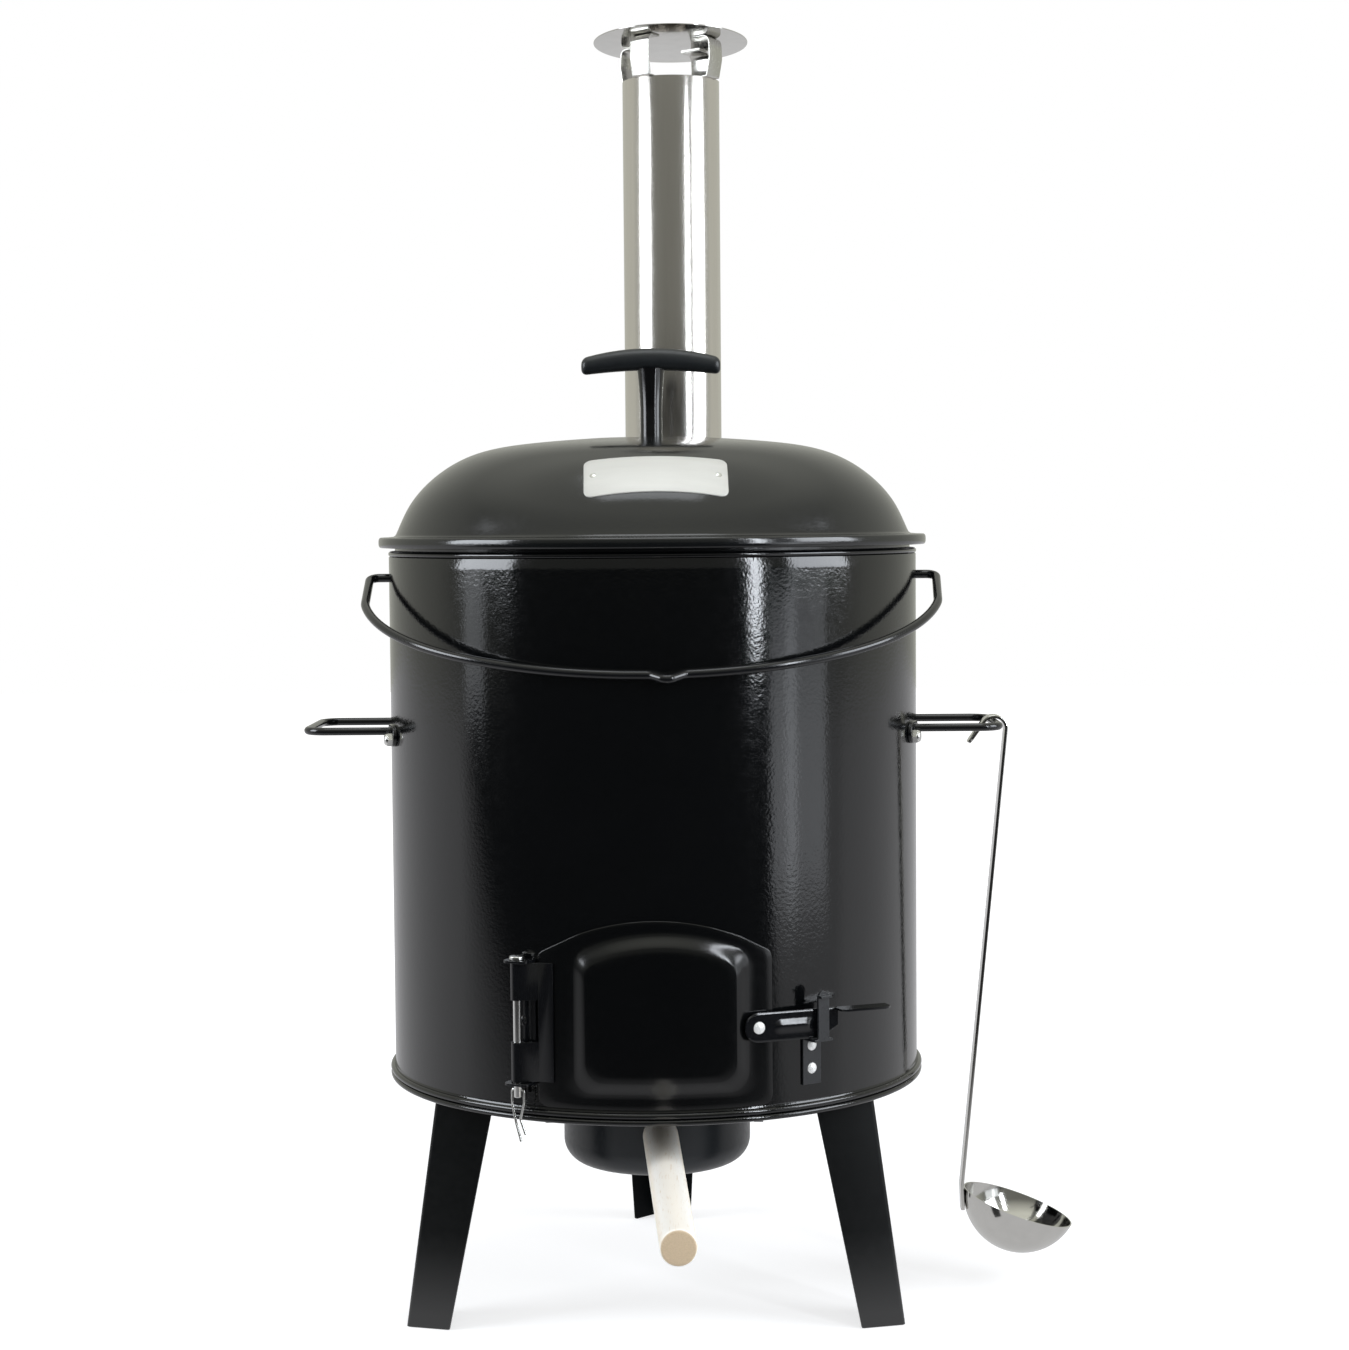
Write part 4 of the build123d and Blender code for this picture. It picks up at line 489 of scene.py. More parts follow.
def shellParts():
    # A grid of turns and heights on both faces of the sheet. Each opening's field is a patch whose rows run
    # from the field's rim to the opening's edge.
    s = shell
    top = s["top"] - s["edge"]
    fields = [(*s["doorField"], archedOutline(**s["door"])),
              (*s["flueField"], circle(s["flueRadius"], 180, (0, s["flueHeight"])))]
    fields += [(turn, s["slotHalfAngle"], s["slotLow"], top, None) for turn in s["slotTurns"]]
    stops = sorted(turn + side * half for turn, half, *others in fields for side in (-1, 1))
    turns = np.concatenate([np.linspace(low, high, max(3, int((high - low) / s["turnStep"])), endpoint=False)
                            for low, high in zip(stops, stops[1:] + [stops[0] + 360])])
    levels = sorted({s["bottom"], *(level for field in fields for level in field[2:4])})
    heights = []
    for low, high in zip(levels, levels[1:]):
        step = s["heightStep"] if low > s["bottom"] else s["flareStep"]
        heights.append(np.linspace(low, high, max(2, int((high - low) / step)), endpoint=False))
    heights = np.concatenate(heights + [[top]])
    grid = np.stack(np.meshgrid(turns, heights, indexing="ij"), axis=-1)
    keep = np.ones((len(turns), len(heights) - 1), bool)

    def side(turn, height):
        return np.stack(np.broadcast_arrays(turn, height), axis=1)

    patches = []
    for turn, half, low, high, outline in fields:
        wide = (turns >= turn - half - tiny) & (turns < turn + half - tiny)
        tall = (heights[:-1] >= low - tiny) & (heights[:-1] < high - tiny)
        keep &= ~(wide[:, None] & tall[None])
        across = np.append(turns[wide], turn + half)
        upwards = np.append(heights[:-1][tall], high)
        foot, right = side(across, low), side(turn + half, upwards)
        head, left = side(across[::-1], high), side(turn - half, upwards[::-1])
        closed = outline is not None
        if closed:
            rim = np.concatenate([foot, right[1:], head[1:], left[1:-1]])
            scale = np.array([np.radians(1) * s["radius"], 1.0])
            local = (rim - [turn, (low + high) / 2]) * scale
            flat = np.stack([turnOf(outline[:, 0]), outline[:, 1]], 1) * scale
            inner = polarRing(flat, np.array([0, (low + high) / 2]), np.arctan2(local[:, 1], local[:, 0]))
            inner = inner / scale + [turn, 0]
        else:
            rim = np.concatenate([left, foot[1:], right[1:]])
            bow = arc(s["slotHalfWidth"], np.pi, 2 * np.pi, 25, (0, s["slotHeight"]))
            slot = np.vstack([[(-s["slotHalfWidth"], top)], bow, [(s["slotHalfWidth"], top)]])
            inner = evenly(slot, len(rim))
            inner = np.stack([turnOf(inner[:, 0]) + turn, inner[:, 1]], 1)
        share = np.linspace(0, 1, 6)[:, None, None]
        patches.append((rim * (1 - share) + inner * share, closed))

    def rolled(flat, radius):
        # The sheet flares a little where it is seamed to the floor, by a smooth step over flareRise mm
        share = np.clip((s["flareTop"] - flat[..., 1]) / s["flareRise"], 0, 1)
        return aboutAxis(flat[..., 0], radius + s["flare"] * share * share * (3 - 2 * share), flat[..., 1])

    faces = (s["radius"], s["radius"] - s["sheet"])
    parts = []
    for radius in faces:
        points, quads, ends = lattice(rolled(grid, radius), wrapRows=True)
        parts.append((points, quads[keep.ravel()], ends))
        parts += [lattice(rolled(patch, radius), wrapColumns=closed) for patch, closed in patches]
    # Lips of the openings, the plain bottom edge and the rounded top rim join the two faces
    for lip, closed in [(patch[-1], closed) for patch, closed in patches] + [(grid[:, 0], True)]:
        parts.append(lattice(np.stack([rolled(lip, radius) for radius in faces]), wrapColumns=closed))
    bend = np.linspace(0, np.pi, 7)
    rimRadius = s["radius"] - s["sheet"] / 2 + s["sheet"] / 2 * np.cos(bend)
    rimHeight = top + s["edge"] * np.sin(bend)
    first, second = (patch[..., 0] for patch, closed in patches if not closed)
    around = np.concatenate([turns, turns + 360])
    for start, end in ((first[:, -1], second[:, 0]), (second[:, -1], first[:, 0] + 360)):
        middle = around[(around > start[0] + tiny) & (around < end[0] - tiny)]
        along = np.concatenate([start[::-1], middle, end])[:, None]
        parts.append(lattice(aboutAxis(along, rimRadius, rimHeight), capRows=True))
    bead = circle(s["beadRadius"], 32, (s["beadCircle"], s["beadHeight"]))
    return parts + [lathed(bead, 256, closed=True)]


putMesh("stove_shell", "enamelled", shellParts(), blackEnamel, "mantle")

floorPan = {"hole": 62.0, "radius": 201.0, "low": 172.2, "sheet": 1.5, "edge": 0.3, "beadCircle": 201.4,
            "beadRadius": 2.2}
panDisc = hoop(floorPan["hole"], floorPan["radius"], floorPan["low"], floorPan["low"] + floorPan["sheet"],
               floorPan["edge"])
panMiddle = floorPan["low"] + floorPan["sheet"] / 2
panBead = circle(floorPan["beadRadius"], 32, (floorPan["beadCircle"], panMiddle))
putMesh("floor_pan", "enamelled", [lathed(panDisc, 256, closed=True), lathed(panBead, 256, closed=True)],
        blackEnamel, "mantle")
print("shell and floor done")

# Legs: folded angle section, tapered, its fold and edges rounded
leg = {
    "turns": {"leg_front_left": -60, "leg_front_right": 60, "leg_rear": 180}, "sheet": 2.5, "fold": 3.4,
    "footRadius": 212.6, "footWidth": 34.0, "topRadius": 186.0, "topWidth": 46.0, "top": 172.2,
    "edge": 0.7, "flange": 2.5, "flangeCorners": (1.5, 3, 3),
    # Heights of the rows under the top and how far each is drawn in: a quarter-round at the cut foot
    "rows": ((0, 0.4), (0.12, 0.12), (0.4, 0), (60, 0), (120, 0)),
}


def angleSection(corner, width):
    # Closed outline of the folded sheet in (outwards, across): outer faces meet at the corner radius
    tip = width * math.sqrt(0.5)
    wall = leg["sheet"] * math.sqrt(0.5)
    outline = [(corner - tip - wall, wall - tip), (corner - tip, -tip), (corner, 0), (corner - tip, tip),
               (corner - tip - wall, tip - wall), (corner - 2 * wall, 0)]
    edges = [leg["edge"]] * 2
    return roundedPath(outline, edges + [leg["fold"]] + edges + [leg["fold"] - leg["sheet"]], 8, closed=True)


def legParts(turn):
    away, beside = outward(turn), outward(turn + 90)
    rows = []
    for height, shrink in (*leg["rows"], (leg["top"], 0)):
        share = height / leg["top"]
        corner = leg["footRadius"] + (leg["topRadius"] - leg["footRadius"]) * share - shrink
        width = leg["footWidth"] + (leg["topWidth"] - leg["footWidth"]) * share - 2 * shrink
        rows.append(laid(angleSection(corner, width), away, beside) + up * height)
    reach = (leg["topWidth"] - leg["sheet"]) * math.sqrt(0.5)
    front = leg["topRadius"] - leg["sheet"] * math.sqrt(0.5)
    flange = laid(roundedPath([(front, 0), (front - reach, reach), (front - reach, -reach)],
                              leg["flangeCorners"], 6, closed=True), away, beside)
    plate = [flange + up * (leg["top"] - leg["flange"]), flange + up * leg["top"]]
    return [lattice(np.stack(grid), wrapColumns=True, capRows=True) for grid in (rows, plate)]


for legName, legTurn in leg["turns"].items():
    putMesh(legName, "folded", legParts(legTurn), legCoat, "mantle")
print("legs done")


def vesselParts(v, counts):
    # Closed profile of a drawn vessel: base, bend, wall and turned rim with its round edge, then back inside.
    # The counts are the points of a corner, the points of the edge and the steps round the axis.
    under, wall, base = v["rimTop"] - v["rimSheet"], v["radius"] - v["sheet"], v["bottom"] + v["sheet"]
    cornerPoints, edgePoints, steps = counts
    outside = roundedPath([(0, v["bottom"]), (v["radius"], v["bottom"]), (v["radius"], under),
                           (v["rimRadius"], under)], [0, v["corner"], v["underBend"], 0], cornerPoints)
    edge = arc(v["bead"], -quarter, quarter, edgePoints, (v["rimRadius"], under + v["bead"]))
    inside = roundedPath([(v["rimRadius"] - v["beadCover"], v["rimTop"]), (wall, v["rimTop"]), (wall, base),
                          (0, base)], [0, v["rimBend"], v["corner"] - v["sheet"], 0], cornerPoints)
    return [lathed(np.vstack([outside, edge, inside]), steps)]


# Ash pan and its turned handle
ashPan = {"radius": 71.75, "sheet": 1.2, "bottom": 99.0, "corner": 18.0, "rimTop": 151.6, "rimSheet": 1.2,
          "rimRadius": 77.65, "bead": 0.6, "beadCover": 0.0, "underBend": 1.2, "rimBend": 1.6, "turn": 3.2}
handle = {"start": 70.0, "root": 13.2, "rootBend": 0.2, "end": 12.2, "reach": 372.0, "height": 132.8,
          "soft": 2.2, "endRing": 3.0, "sunk": 0.4}


def dowelParts():
    h = handle
    profile = roundedPath([(0, h["start"]), (h["root"], h["start"]), (h["end"], h["reach"]), (0, h["reach"])],
                          [0, h["rootBend"], h["soft"], 0], 12)
    rows = spun(np.vstack([profile[:-1], [(h["endRing"], h["reach"])], profile[-1:]]), 64)
    # The root is scooped to the pan's wall: no point is nearer than sqrt(wall^2 - across^2)
    wall = np.sqrt(ashPan["radius"] ** 2 - rows[..., 0] ** 2) - h["sunk"]
    rows[..., 2] = np.maximum(rows[..., 2], wall)
    return [lattice(onWall(rows, 0, ashPan["turn"], h["height"]), wrapRows=True)]


putMesh("ash_pan", "drawn", vesselParts(ashPan, (16, 9, 160)), panEnamel, "ash_drawer")
putMesh("pan_handle", "turned", dowelParts(), beech, "ash_drawer")
print("ash pan done")

# Stoking door: curved sheet with a pressed, raised panel
door = {
    "turn": 0.95, "radius": 201.8, "sheet": 1.5, "edge": 0.5, "shift": 4.2, "middle": 246.0, "rise": 4.2,
    "slope": 9.0, "easedShare": 0.45,
    "outline": {"halfWidth": 82.0, "bottom": 181.6, "shoulder": 290.0, "peak": 314.4, "corner": 7.0},
    "panel": {"halfWidth": 61.5, "bottom": 192.4, "shoulder": 291.0, "peak": 304.6, "corner": 13.0},
}


def doorParts():
    # Rings from the panel's middle out to the door's edge, each with its rise over the sheet
    d = door
    centre = np.array([d["shift"], d["middle"]])
    outline = evenly(archedOutline(**d["outline"]), 300, closed=True)
    angles = np.arctan2(*(outline - centre).T[::-1])
    foot, crest = (polarRing(archedOutline(**d["panel"], inset=inset) + [d["shift"], 0], centre, angles)
                   for inset in (0.0, d["slope"]))
    inset = outline + unit(foot - outline) * d["edge"]
    rows = [withDepth(centre + (crest - centre) * share, d["rise"]) for share in np.linspace(0, 1, 9)[:-1]]
    # The slope is part straight and part a smooth step of the share, so that its ends are eased
    for share in np.linspace(0, 1, 13):
        eased = d["easedShare"] * share * share * (3 - 2 * share) + (1 - d["easedShare"]) * share
        rows.append(withDepth(crest + (foot - crest) * share, d["rise"] * (1 - eased)))
    rows += [withDepth(foot + (inset - foot) * share, 0) for share in (0.35, 0.7, 1.0)]
    edgeBends = np.linspace(0, quarter, 5)[1:]
    for bend in edgeBends:
        rows.append(withDepth(inset + (outline - inset) * math.sin(bend), d["edge"] * (math.cos(bend) - 1)))
    back = np.stack(rows[:-len(edgeBends)])[::-1] - [0, 0, d["sheet"]]
    solid = np.vstack([rows, [withDepth(outline, -d["sheet"])], back])
    return [lattice(bentOnWall(solid, d["radius"], d["turn"]), wrapColumns=True)]


putMesh("door_panel", "pressed", doorParts(), doorEnamel, "stoking_door")
print("door done")

# Hinge pin with its flat head, and the hairpin clip
pin = {"turn": -26.5, "radius": 209.0, "low": 188.4, "high": 285.6, "headTop": 288.4, "shank": 3.0,
       "head": 5.3, "tipBend": 0.8, "headBends": (0.5, 0.9)}
pinProfile = roundedPath([(0, pin["low"]), (pin["shank"], pin["low"]), (pin["shank"], pin["high"]),
                          (pin["head"], pin["high"]), (pin["head"], pin["headTop"]), (0, pin["headTop"])],
                         [0, pin["tipBend"], 0, *pin["headBends"], 0], 6)
pinPlace = outward(pin["turn"]) * pin["radius"]
putMesh("hinge_pin", "headed", [lathed(pinProfile, 40, place=pinPlace)], nickelPlate, "mantle")

# The clip's corners are shares of its half width and its length
clip = {"wire": 0.9, "halfWidth": 4.8, "height": 194.2, "length": 37.0,
        "shares": [(0.42, -1.0), (-0.38, -0.66), (-1.0, -0.28), (-1.0, 0.0), (1.0, 0.0), (1.0, -0.26),
                   (0.34, -0.58), (1.2, -0.86)]}
clipCorners = np.array(clip["shares"]) * [clip["halfWidth"], clip["length"]]
clipFlat = evenly(roundedPath(clipCorners, 2 * clip["wire"], 9), 150)
clipPath = onWall(withDepth(clipFlat, 0), pin["radius"], pin["turn"], clip["height"])
putMesh("hinge_clip", "wire", [bar(clipPath, outward(pin["turn"]), circle(clip["wire"], 16))], nickelPlate,
        "mantle")

# Latch lever: pressed arm with a swelled rib, and a folded thumb tab
lever = {"turn": 21.5, "height": 237.5, "face": 205.2, "sheet": 1.6, "edge": 0.45, "half": 10.4,
         "endHalf": 6.5, "start": 1.5, "reach": 60.0, "tabStart": 58.0, "tabLength": 39.0, "tabDepth": 14.0,
         "tabCorners": (0.6, 0.6, 6.0, 6.0), "tabEdge": 0.4, "ribMiddle": 26.0, "ribHalfLength": 16.0,
         "ribHalf": 6.0, "ribRise": 1.2}


def leverParts():
    v = lever
    # Stations along the arm: a half circle about the rivet, then straight, then the lower edge climbs
    roundEnd = -v["half"] * np.cos(np.linspace(0, quarter, 14))
    x = np.concatenate([roundEnd, np.linspace(v["start"], v["reach"], 44)])
    top = np.where(x < 0, np.sqrt(np.clip(v["half"] ** 2 - x ** 2, 0, None)), v["half"])
    climbStart = v["tabStart"] - v["half"]
    climb = np.clip((x - climbStart) / (v["reach"] - climbStart), 0, 1)
    low = -top + climb * 2 * (v["half"] - v["endHalf"])
    y = low[:, None] + (top - low)[:, None] * np.linspace(0, 1, 25)
    # The rib swells as cos^2 of the distance from its middle line, over a rounded oblong
    beyond = np.clip(np.abs(x - v["ribMiddle"])[:, None] - v["ribHalfLength"] + v["ribHalf"], 0, None)
    away = np.clip(np.hypot(beyond, y) / v["ribHalf"], 0, 1)
    swell = v["ribRise"] * np.cos(away * quarter) ** 2
    # The edge is a quarter-round: drop = e - sqrt(e^2 - (e - distance)^2)
    inside = np.clip(v["edge"] - np.minimum(y - low[:, None], top[:, None] - y), 0, None)
    drop = v["edge"] - np.sqrt(np.clip(v["edge"] ** 2 - inside ** 2, 0, None))
    x = x[:, None] + 0 * y
    front, back = np.stack([x, y, v["sheet"] + swell - drop], -1), np.stack([x, y, 0 * y], -1)
    arm = np.concatenate([front, back[:, ::-1]], axis=1)
    corners = [(0, 0), (v["tabLength"], 0), (v["tabLength"], v["tabDepth"]), (0, v["tabDepth"])]
    flat = softPlate(roundedPath(corners, v["tabCorners"], 8, closed=True), v["sheet"], v["tabEdge"])
    tab = np.stack([flat[..., 0] + v["tabStart"], v["half"] - flat[..., 2], flat[..., 1]], -1)
    return [lattice(onWall(part, v["face"], v["turn"], v["height"]), wrapColumns=True, capRows=ends)
            for part, ends in ((arm, True), (tab, False))]


putMesh("latch_lever", "pressed", leverParts(), fittingCoat, "latch_arm")

# Wire handles on the sides, each with two welded feet
wire = {"height": 435.0, "radius": 3.0, "reach": 260.0, "halfWidth": 48.0, "bend": 15.0,
        "shellRadius": 200.0, "footTurn": 75.0, "footHalfLength": 6.0, "footHalfHeight": 8.0,
        "footSheet": 2.5, "footEdge": 0.6, "footDrop": 2.75}


def wireHandleParts(side):
    w = wire
    root = math.sqrt(w["shellRadius"] ** 2 - w["halfWidth"] ** 2) + w["footSheet"] / 2
    corners = [(root, -w["halfWidth"]), (w["reach"], -w["halfWidth"]), (w["reach"], w["halfWidth"]),
               (root, w["halfWidth"])]
    flat = roundedPath([(side * x, y) for x, y in corners], w["bend"], 24)
    parts = [bar(withDepth(flat, w["height"]), up, circle(w["radius"], 28))]
    bow = arc(w["footHalfHeight"], -quarter, quarter, 16, (w["footHalfLength"], 0))
    foot = softPlate(np.vstack([bow, -bow]), w["footSheet"], w["footEdge"])
    for turn in (side * w["footTurn"], side * (180 - w["footTurn"])):
        placed = onWall(foot, w["shellRadius"], turn, w["height"] - w["footDrop"])
        parts.append(lattice(placed, wrapColumns=True))
    return parts


for sideName, side in (("left", -1), ("right", 1)):
    putMesh("side_handle_" + sideName, "wire", wireHandleParts(side), fittingCoat, "mantle")
print("side handles done")

# Flue elbow, chimney pipe and rain cap
flue = {"turn": 176.9, "distance": 252.0, "height": 458.0, "radius": 39.8, "sheet": 1.2, "bend": 45.0,
        "start": 194.0, "spigotTop": 548.0, "stopLow": 505.0, "stopTop": 508.0, "stopWidth": 3.2,
        "stopSunk": 0.4, "stopCorners": (0.1, 1.2, 1.2, 0.1)}
pipe = {"outer": 41.1, "inner": 40.1, "low": 508.0, "top": 962.0, "edge": 0.25}
cap = {"radius": 65.3, "sheet": 1.0, "edge": 0.45, "height": 994.5, "tilt": 4.0}
pipePlace = outward(flue["turn"]) * flue["distance"]


def elbowParts():
    f = flue
    flat = roundedPath([(f["start"], f["height"]), (f["distance"], f["height"]),
                        (f["distance"], f["spigotTop"])], f["bend"], 28)
    outer, inner = (carried(laid(flat, outward(f["turn"]), up), outward(f["turn"] + 90), circle(radius, 96))
                    for radius in (f["radius"], f["radius"] - f["sheet"]))
    stop = hoop(f["radius"] - f["stopSunk"], f["radius"] + f["stopWidth"], f["stopLow"], f["stopTop"],
                f["stopCorners"], 6)
    return [lattice(np.vstack([outer, inner[::-1]]), wrapRows=True, wrapColumns=True),
            lathed(stop, 96, closed=True, place=pipePlace)]


def capParts():
    # Disc with a rolled edge, tilted about x so that its front stands higher
    profile = roundedPath([(0, 0), (cap["radius"], 0), (cap["radius"], cap["sheet"]), (0, cap["sheet"])],
                          [0, cap["edge"], cap["edge"], 0], 6)
    cosine, sine = math.cos(math.radians(cap["tilt"])), math.sin(math.radians(cap["tilt"]))
    x, y, z = np.moveaxis(spun(profile, 160), -1, 0)
    turned = np.stack([x, y * cosine + z * sine, z * cosine - y * sine], axis=-1)
    return [lattice(turned + pipePlace + up * cap["height"], wrapRows=True)]


pipeProfile = hoop(pipe["inner"], pipe["outer"], pipe["low"], pipe["top"], pipe["edge"])
putMesh("flue_elbow", "bent", elbowParts(), fittingCoat, "mantle")
putMesh("chimney_pipe", "rolled", [lathed(pipeProfile, 160, closed=True, place=pipePlace)], pipeSteel,
        "chimney")
putMesh("cap_disc", "pressed", capParts(), brightSteel, "rain_cap")

capStrap = {"turns": (-34, 56, 146, 236), "width": 19.0, "sheet": 1.0, "edge": 0.3, "insert": (38.0, 946.0),
            "ledge": 42.8, "bow": (46.0, 978.0), "shoulder": 45.0, "tabEnd": 29.8, "under": 0.55,
            "bends": (0, 0.9, 1.0, 16.0, 6.0, 0)}


def capStrapParts():
    # A flat strip bent inside the pipe's mouth, over its edge, outwards in a bow and under the disc
    c = capStrap
    middle = pipe["top"] + c["sheet"] / 2
    lean = math.tan(math.radians(cap["tilt"]))
    parts = []
    for turn in c["turns"]:
        away, across = outward(turn), outward(turn + 90)
        shoulder, tabEnd = ((radius, cap["height"] - c["under"] - lean * away[1] * radius)
                            for radius in (c["shoulder"], c["tabEnd"]))
        flat = roundedPath([c["insert"], (c["insert"][0], middle), (c["ledge"], middle), c["bow"], shoulder,
                            tabEnd], c["bends"], 12)
        path = laid(flat, away, up) + pipePlace
        rows = carried(path, across, roundedBox(c["sheet"], c["width"], c["edge"], 4))
        # Towards the top the strip twists to lie flat under the tilted disc
        share = np.clip((rows[..., 2] - middle) / (cap["height"] - middle), 0, 1)
        rows[..., 2] -= lean * across[1] * ((rows - pipePlace) @ across) * share
        parts.append(lattice(rows, wrapColumns=True, capRows=True))
    return parts


putMesh("cap_straps", "bent", capStrapParts(), brushedSteel, "rain_cap")
print("flue done")

# Pot with its turned rim, and the bail of bent wire with a hook notch beside its middle
pot = {"radius": 183.0, "sheet": 1.2, "bottom": 352.0, "corner": 42.0, "rimTop": 567.0, "rimSheet": 2.0,
       "rimRadius": 198.2, "bead": 2.1, "beadCover": 1.8, "underBend": 0.6, "rimBend": 1.6}
putMesh("pot", "spun", vesselParts(pot, (20, 13, 192)), blackEnamel, "kettle")

bail = {"height": 548.5, "wire": 3.25, "pinEnd": 188.5, "halfWidth": 216.0, "endBend": 7.0,
        "shoulderHalfWidth": 212.3, "shoulderRadius": 177.0, "cornerCut": 5.0, "crownRadius": 254.0,
        "crownAngle": 59.4, "hang": 17.3, "restGap": 0.35, "shellRadius": 200.0,
        "notchOffset": 14.0, "notchHalfWidth": 12.0, "notchDepth": 10.6, "notchBend": 6.0, "mouthBend": 9.0}


def bailParts():
    # Flat line in (across, down): a crown arc, a shoulder arc tangent to it at each side, and straight ends
    b = bail
    hang = math.radians(b["hang"])
    crown = math.radians(b["crownAngle"])
    crownCentre = (b["shellRadius"] + b["wire"] + b["restGap"]) / math.cos(hang) - b["crownRadius"]
    crownEnd = b["crownRadius"] * math.cos(crown)
    shoulderAcross = crownEnd * (1 - b["shoulderRadius"] / b["crownRadius"])
    shoulderAlong = crownCentre + (b["crownRadius"] - b["shoulderRadius"]) * math.sin(crown)

    def onCrown(across):
        return np.stack([across, crownCentre + np.sqrt(b["crownRadius"] ** 2 - across ** 2)], -1)

    def onShoulder(across):
        beyond = np.abs(across) - shoulderAcross
        return np.stack([across, shoulderAlong + np.sqrt(b["shoulderRadius"] ** 2 - beyond ** 2)], -1)

    halves = []
    root = onCrown(np.array(b["notchOffset"])) + [0, b["notchDepth"]]
    for side in (-1, 1):
        mouth = b["notchOffset"] + side * b["notchHalfWidth"]
        arcs = np.vstack([onShoulder(side * np.linspace(b["shoulderHalfWidth"], crownEnd, 40)[:-1]),
                          onCrown(np.linspace(side * crownEnd, mouth, 50))])
        corners = [(side * b["pinEnd"], 0.0), (side * b["halfWidth"], 0.0), arcs[0]]
        lead = roundedPath(corners, b["endBend"], 10)[:-1]
        # The shoulder's corner is rounded by an arc tangent to the end, and the notch's mouth by a bend
        arrive = unit(arcs[0] - lead[-1])
        bow = tangentArc(arcs[0] - arrive * b["cornerCut"], arrive, pointsAt(arcs, b["cornerCut"]), 10)
        arcs = arcs[lengthsAlong(arcs) > b["cornerCut"] + 0.5]
        notch = roundedPath([arcs[-8], arcs[-1], root], [0, b["mouthBend"], 0], 14)
        halves.append(np.vstack([lead, bow, arcs[:-8], notch[:-1]]))
    left, right = halves
    tip = roundedPath([left[-1], root, right[-1]], [0, b["notchBend"], 0], 14)
    flat = evenly(np.vstack([left[:-1], tip, right[:-1][::-1]]), 620)
    sideways, down = np.array([1.0, 0, 0]), np.array([0, -math.cos(hang), -math.sin(hang)])
    path = laid(flat, sideways, down) + up * b["height"]
    return [bar(path, np.cross(sideways, down), circle(b["wire"], 24))]


putMesh("bail", "wire", bailParts(), fittingCoat, "kettle_bail")
print("pot and bail done")

# Lid: spun dome, sunk crown, flared foot with a rolled brim, and the band inside
lid = {
    "sheet": 1.5, "hole": 3.05, "recess": (45.0, 650.4), "recessEdge": (47.5, 653.0),
    "recessBends": (1.6, 0.6), "crown": (95.0, 649.2), "knee": (137.5, 640.4), "haunch": (167.6, 622.0),
    "side": (184.4, 602.4), "foot": (192.6, 585.6), "flare": (195.0, 580.2), "flareBend": 3.5,
    "brim": (203.4, 579.4),
    "beadCentre": (205.1, 575.6), "beadHalf": (2.45, 3.9), "beadSquare": 0.72, "beadOverlap": 0.4,
    "beadStart": 0.2, "beadEnd": 0.1, "bandInner": 194.0, "bandOuter": 195.4, "bandLow": 567.1,
    "bandHigh": 580.25, "bandEdge": 0.3,
}


def domeLine():
    # The dome's outer line from the sunk crown's edge to its foot, then the flared brim
    dome = fairLine([lid[name] for name in ("recessEdge", "crown", "knee", "haunch", "side", "foot")], 90)
    flare = roundedPath([dome[-1], lid["flare"], lid["brim"]], [0, lid["flareBend"], 0], 14)
    return np.vstack([dome, flare[1:]])


def lidParts():
    recess = roundedPath([(lid["hole"], lid["recess"][1]), lid["recess"], lid["recessEdge"], lid["crown"]],
                         [0, *lid["recessBends"], 0], 8)[:-1]
    outer = np.vstack([recess, domeLine()[1:]])
    # The inner face is the outer one moved by the sheet along its normal
    run = unit(np.gradient(outer, axis=0))
    inner = outer + lid["sheet"] * np.stack([run[:, 1], -run[:, 0]], 1)
    inner = inner[inner[:, 0] < lid["beadCentre"][0] - lid["beadHalf"][0] + lid["beadOverlap"]]
    inner[:, 0] = np.maximum(inner[:, 0], lid["hole"])
    # Rolled edge, flattened outside: half size * sign(cos) |cos|^square, and the same with sin
    bead = arc(1.0, quarter - lid["beadStart"], -np.pi - lid["beadEnd"], 44)
    bead = np.sign(bead) * np.abs(bead) ** lid["beadSquare"] * lid["beadHalf"] + lid["beadCentre"]
    band = hoop(lid["bandInner"], lid["bandOuter"], lid["bandLow"], lid["bandHigh"], lid["bandEdge"])
    return [lathed(np.vstack([outer, bead, inner[::-1]]), 288, closed=True), lathed(band, 192, closed=True)]


putMesh("lid_shell", "spun", lidParts(), lidEnamel, "kettle_lid")

# Lid handle: a stem that flares by a power of its height, and an arched grip
stem = {"bore": 3.05, "radius": 8.3, "topRadius": 10.5, "low": 650.4, "flare": 674.0, "top": 706.0,
        "edge": 0.3, "flarePower": 1.6}
grip = {"height": 713.0, "droop": 5.4, "halfLength": 52.8, "depth": 9.5, "rise": 8.4, "soft": 4.2,
        "power": 0.9, "shares": [(-1.0, 0.76), (-0.5, 0.95), (0.0, 1.0), (0.5, 0.95), (1.0, 0.76)]}
rise = np.linspace(0, 1, 16)
flareRun = np.stack([stem["radius"] + (stem["topRadius"] - stem["radius"]) * rise ** stem["flarePower"],
                     stem["flare"] + (stem["top"] - stem["flare"]) * rise], 1)
stemFoot = [(stem["bore"], stem["low"]), (stem["radius"] - stem["edge"], stem["low"]),
            (stem["radius"], stem["low"] + stem["edge"])]
stemProfile = np.vstack([stemFoot, flareRun, [(stem["bore"], stem["top"])]])
putMesh("lid_stem", "moulded", [lathed(stemProfile, 64, closed=True)], stemPlastic, "kettle_lid")


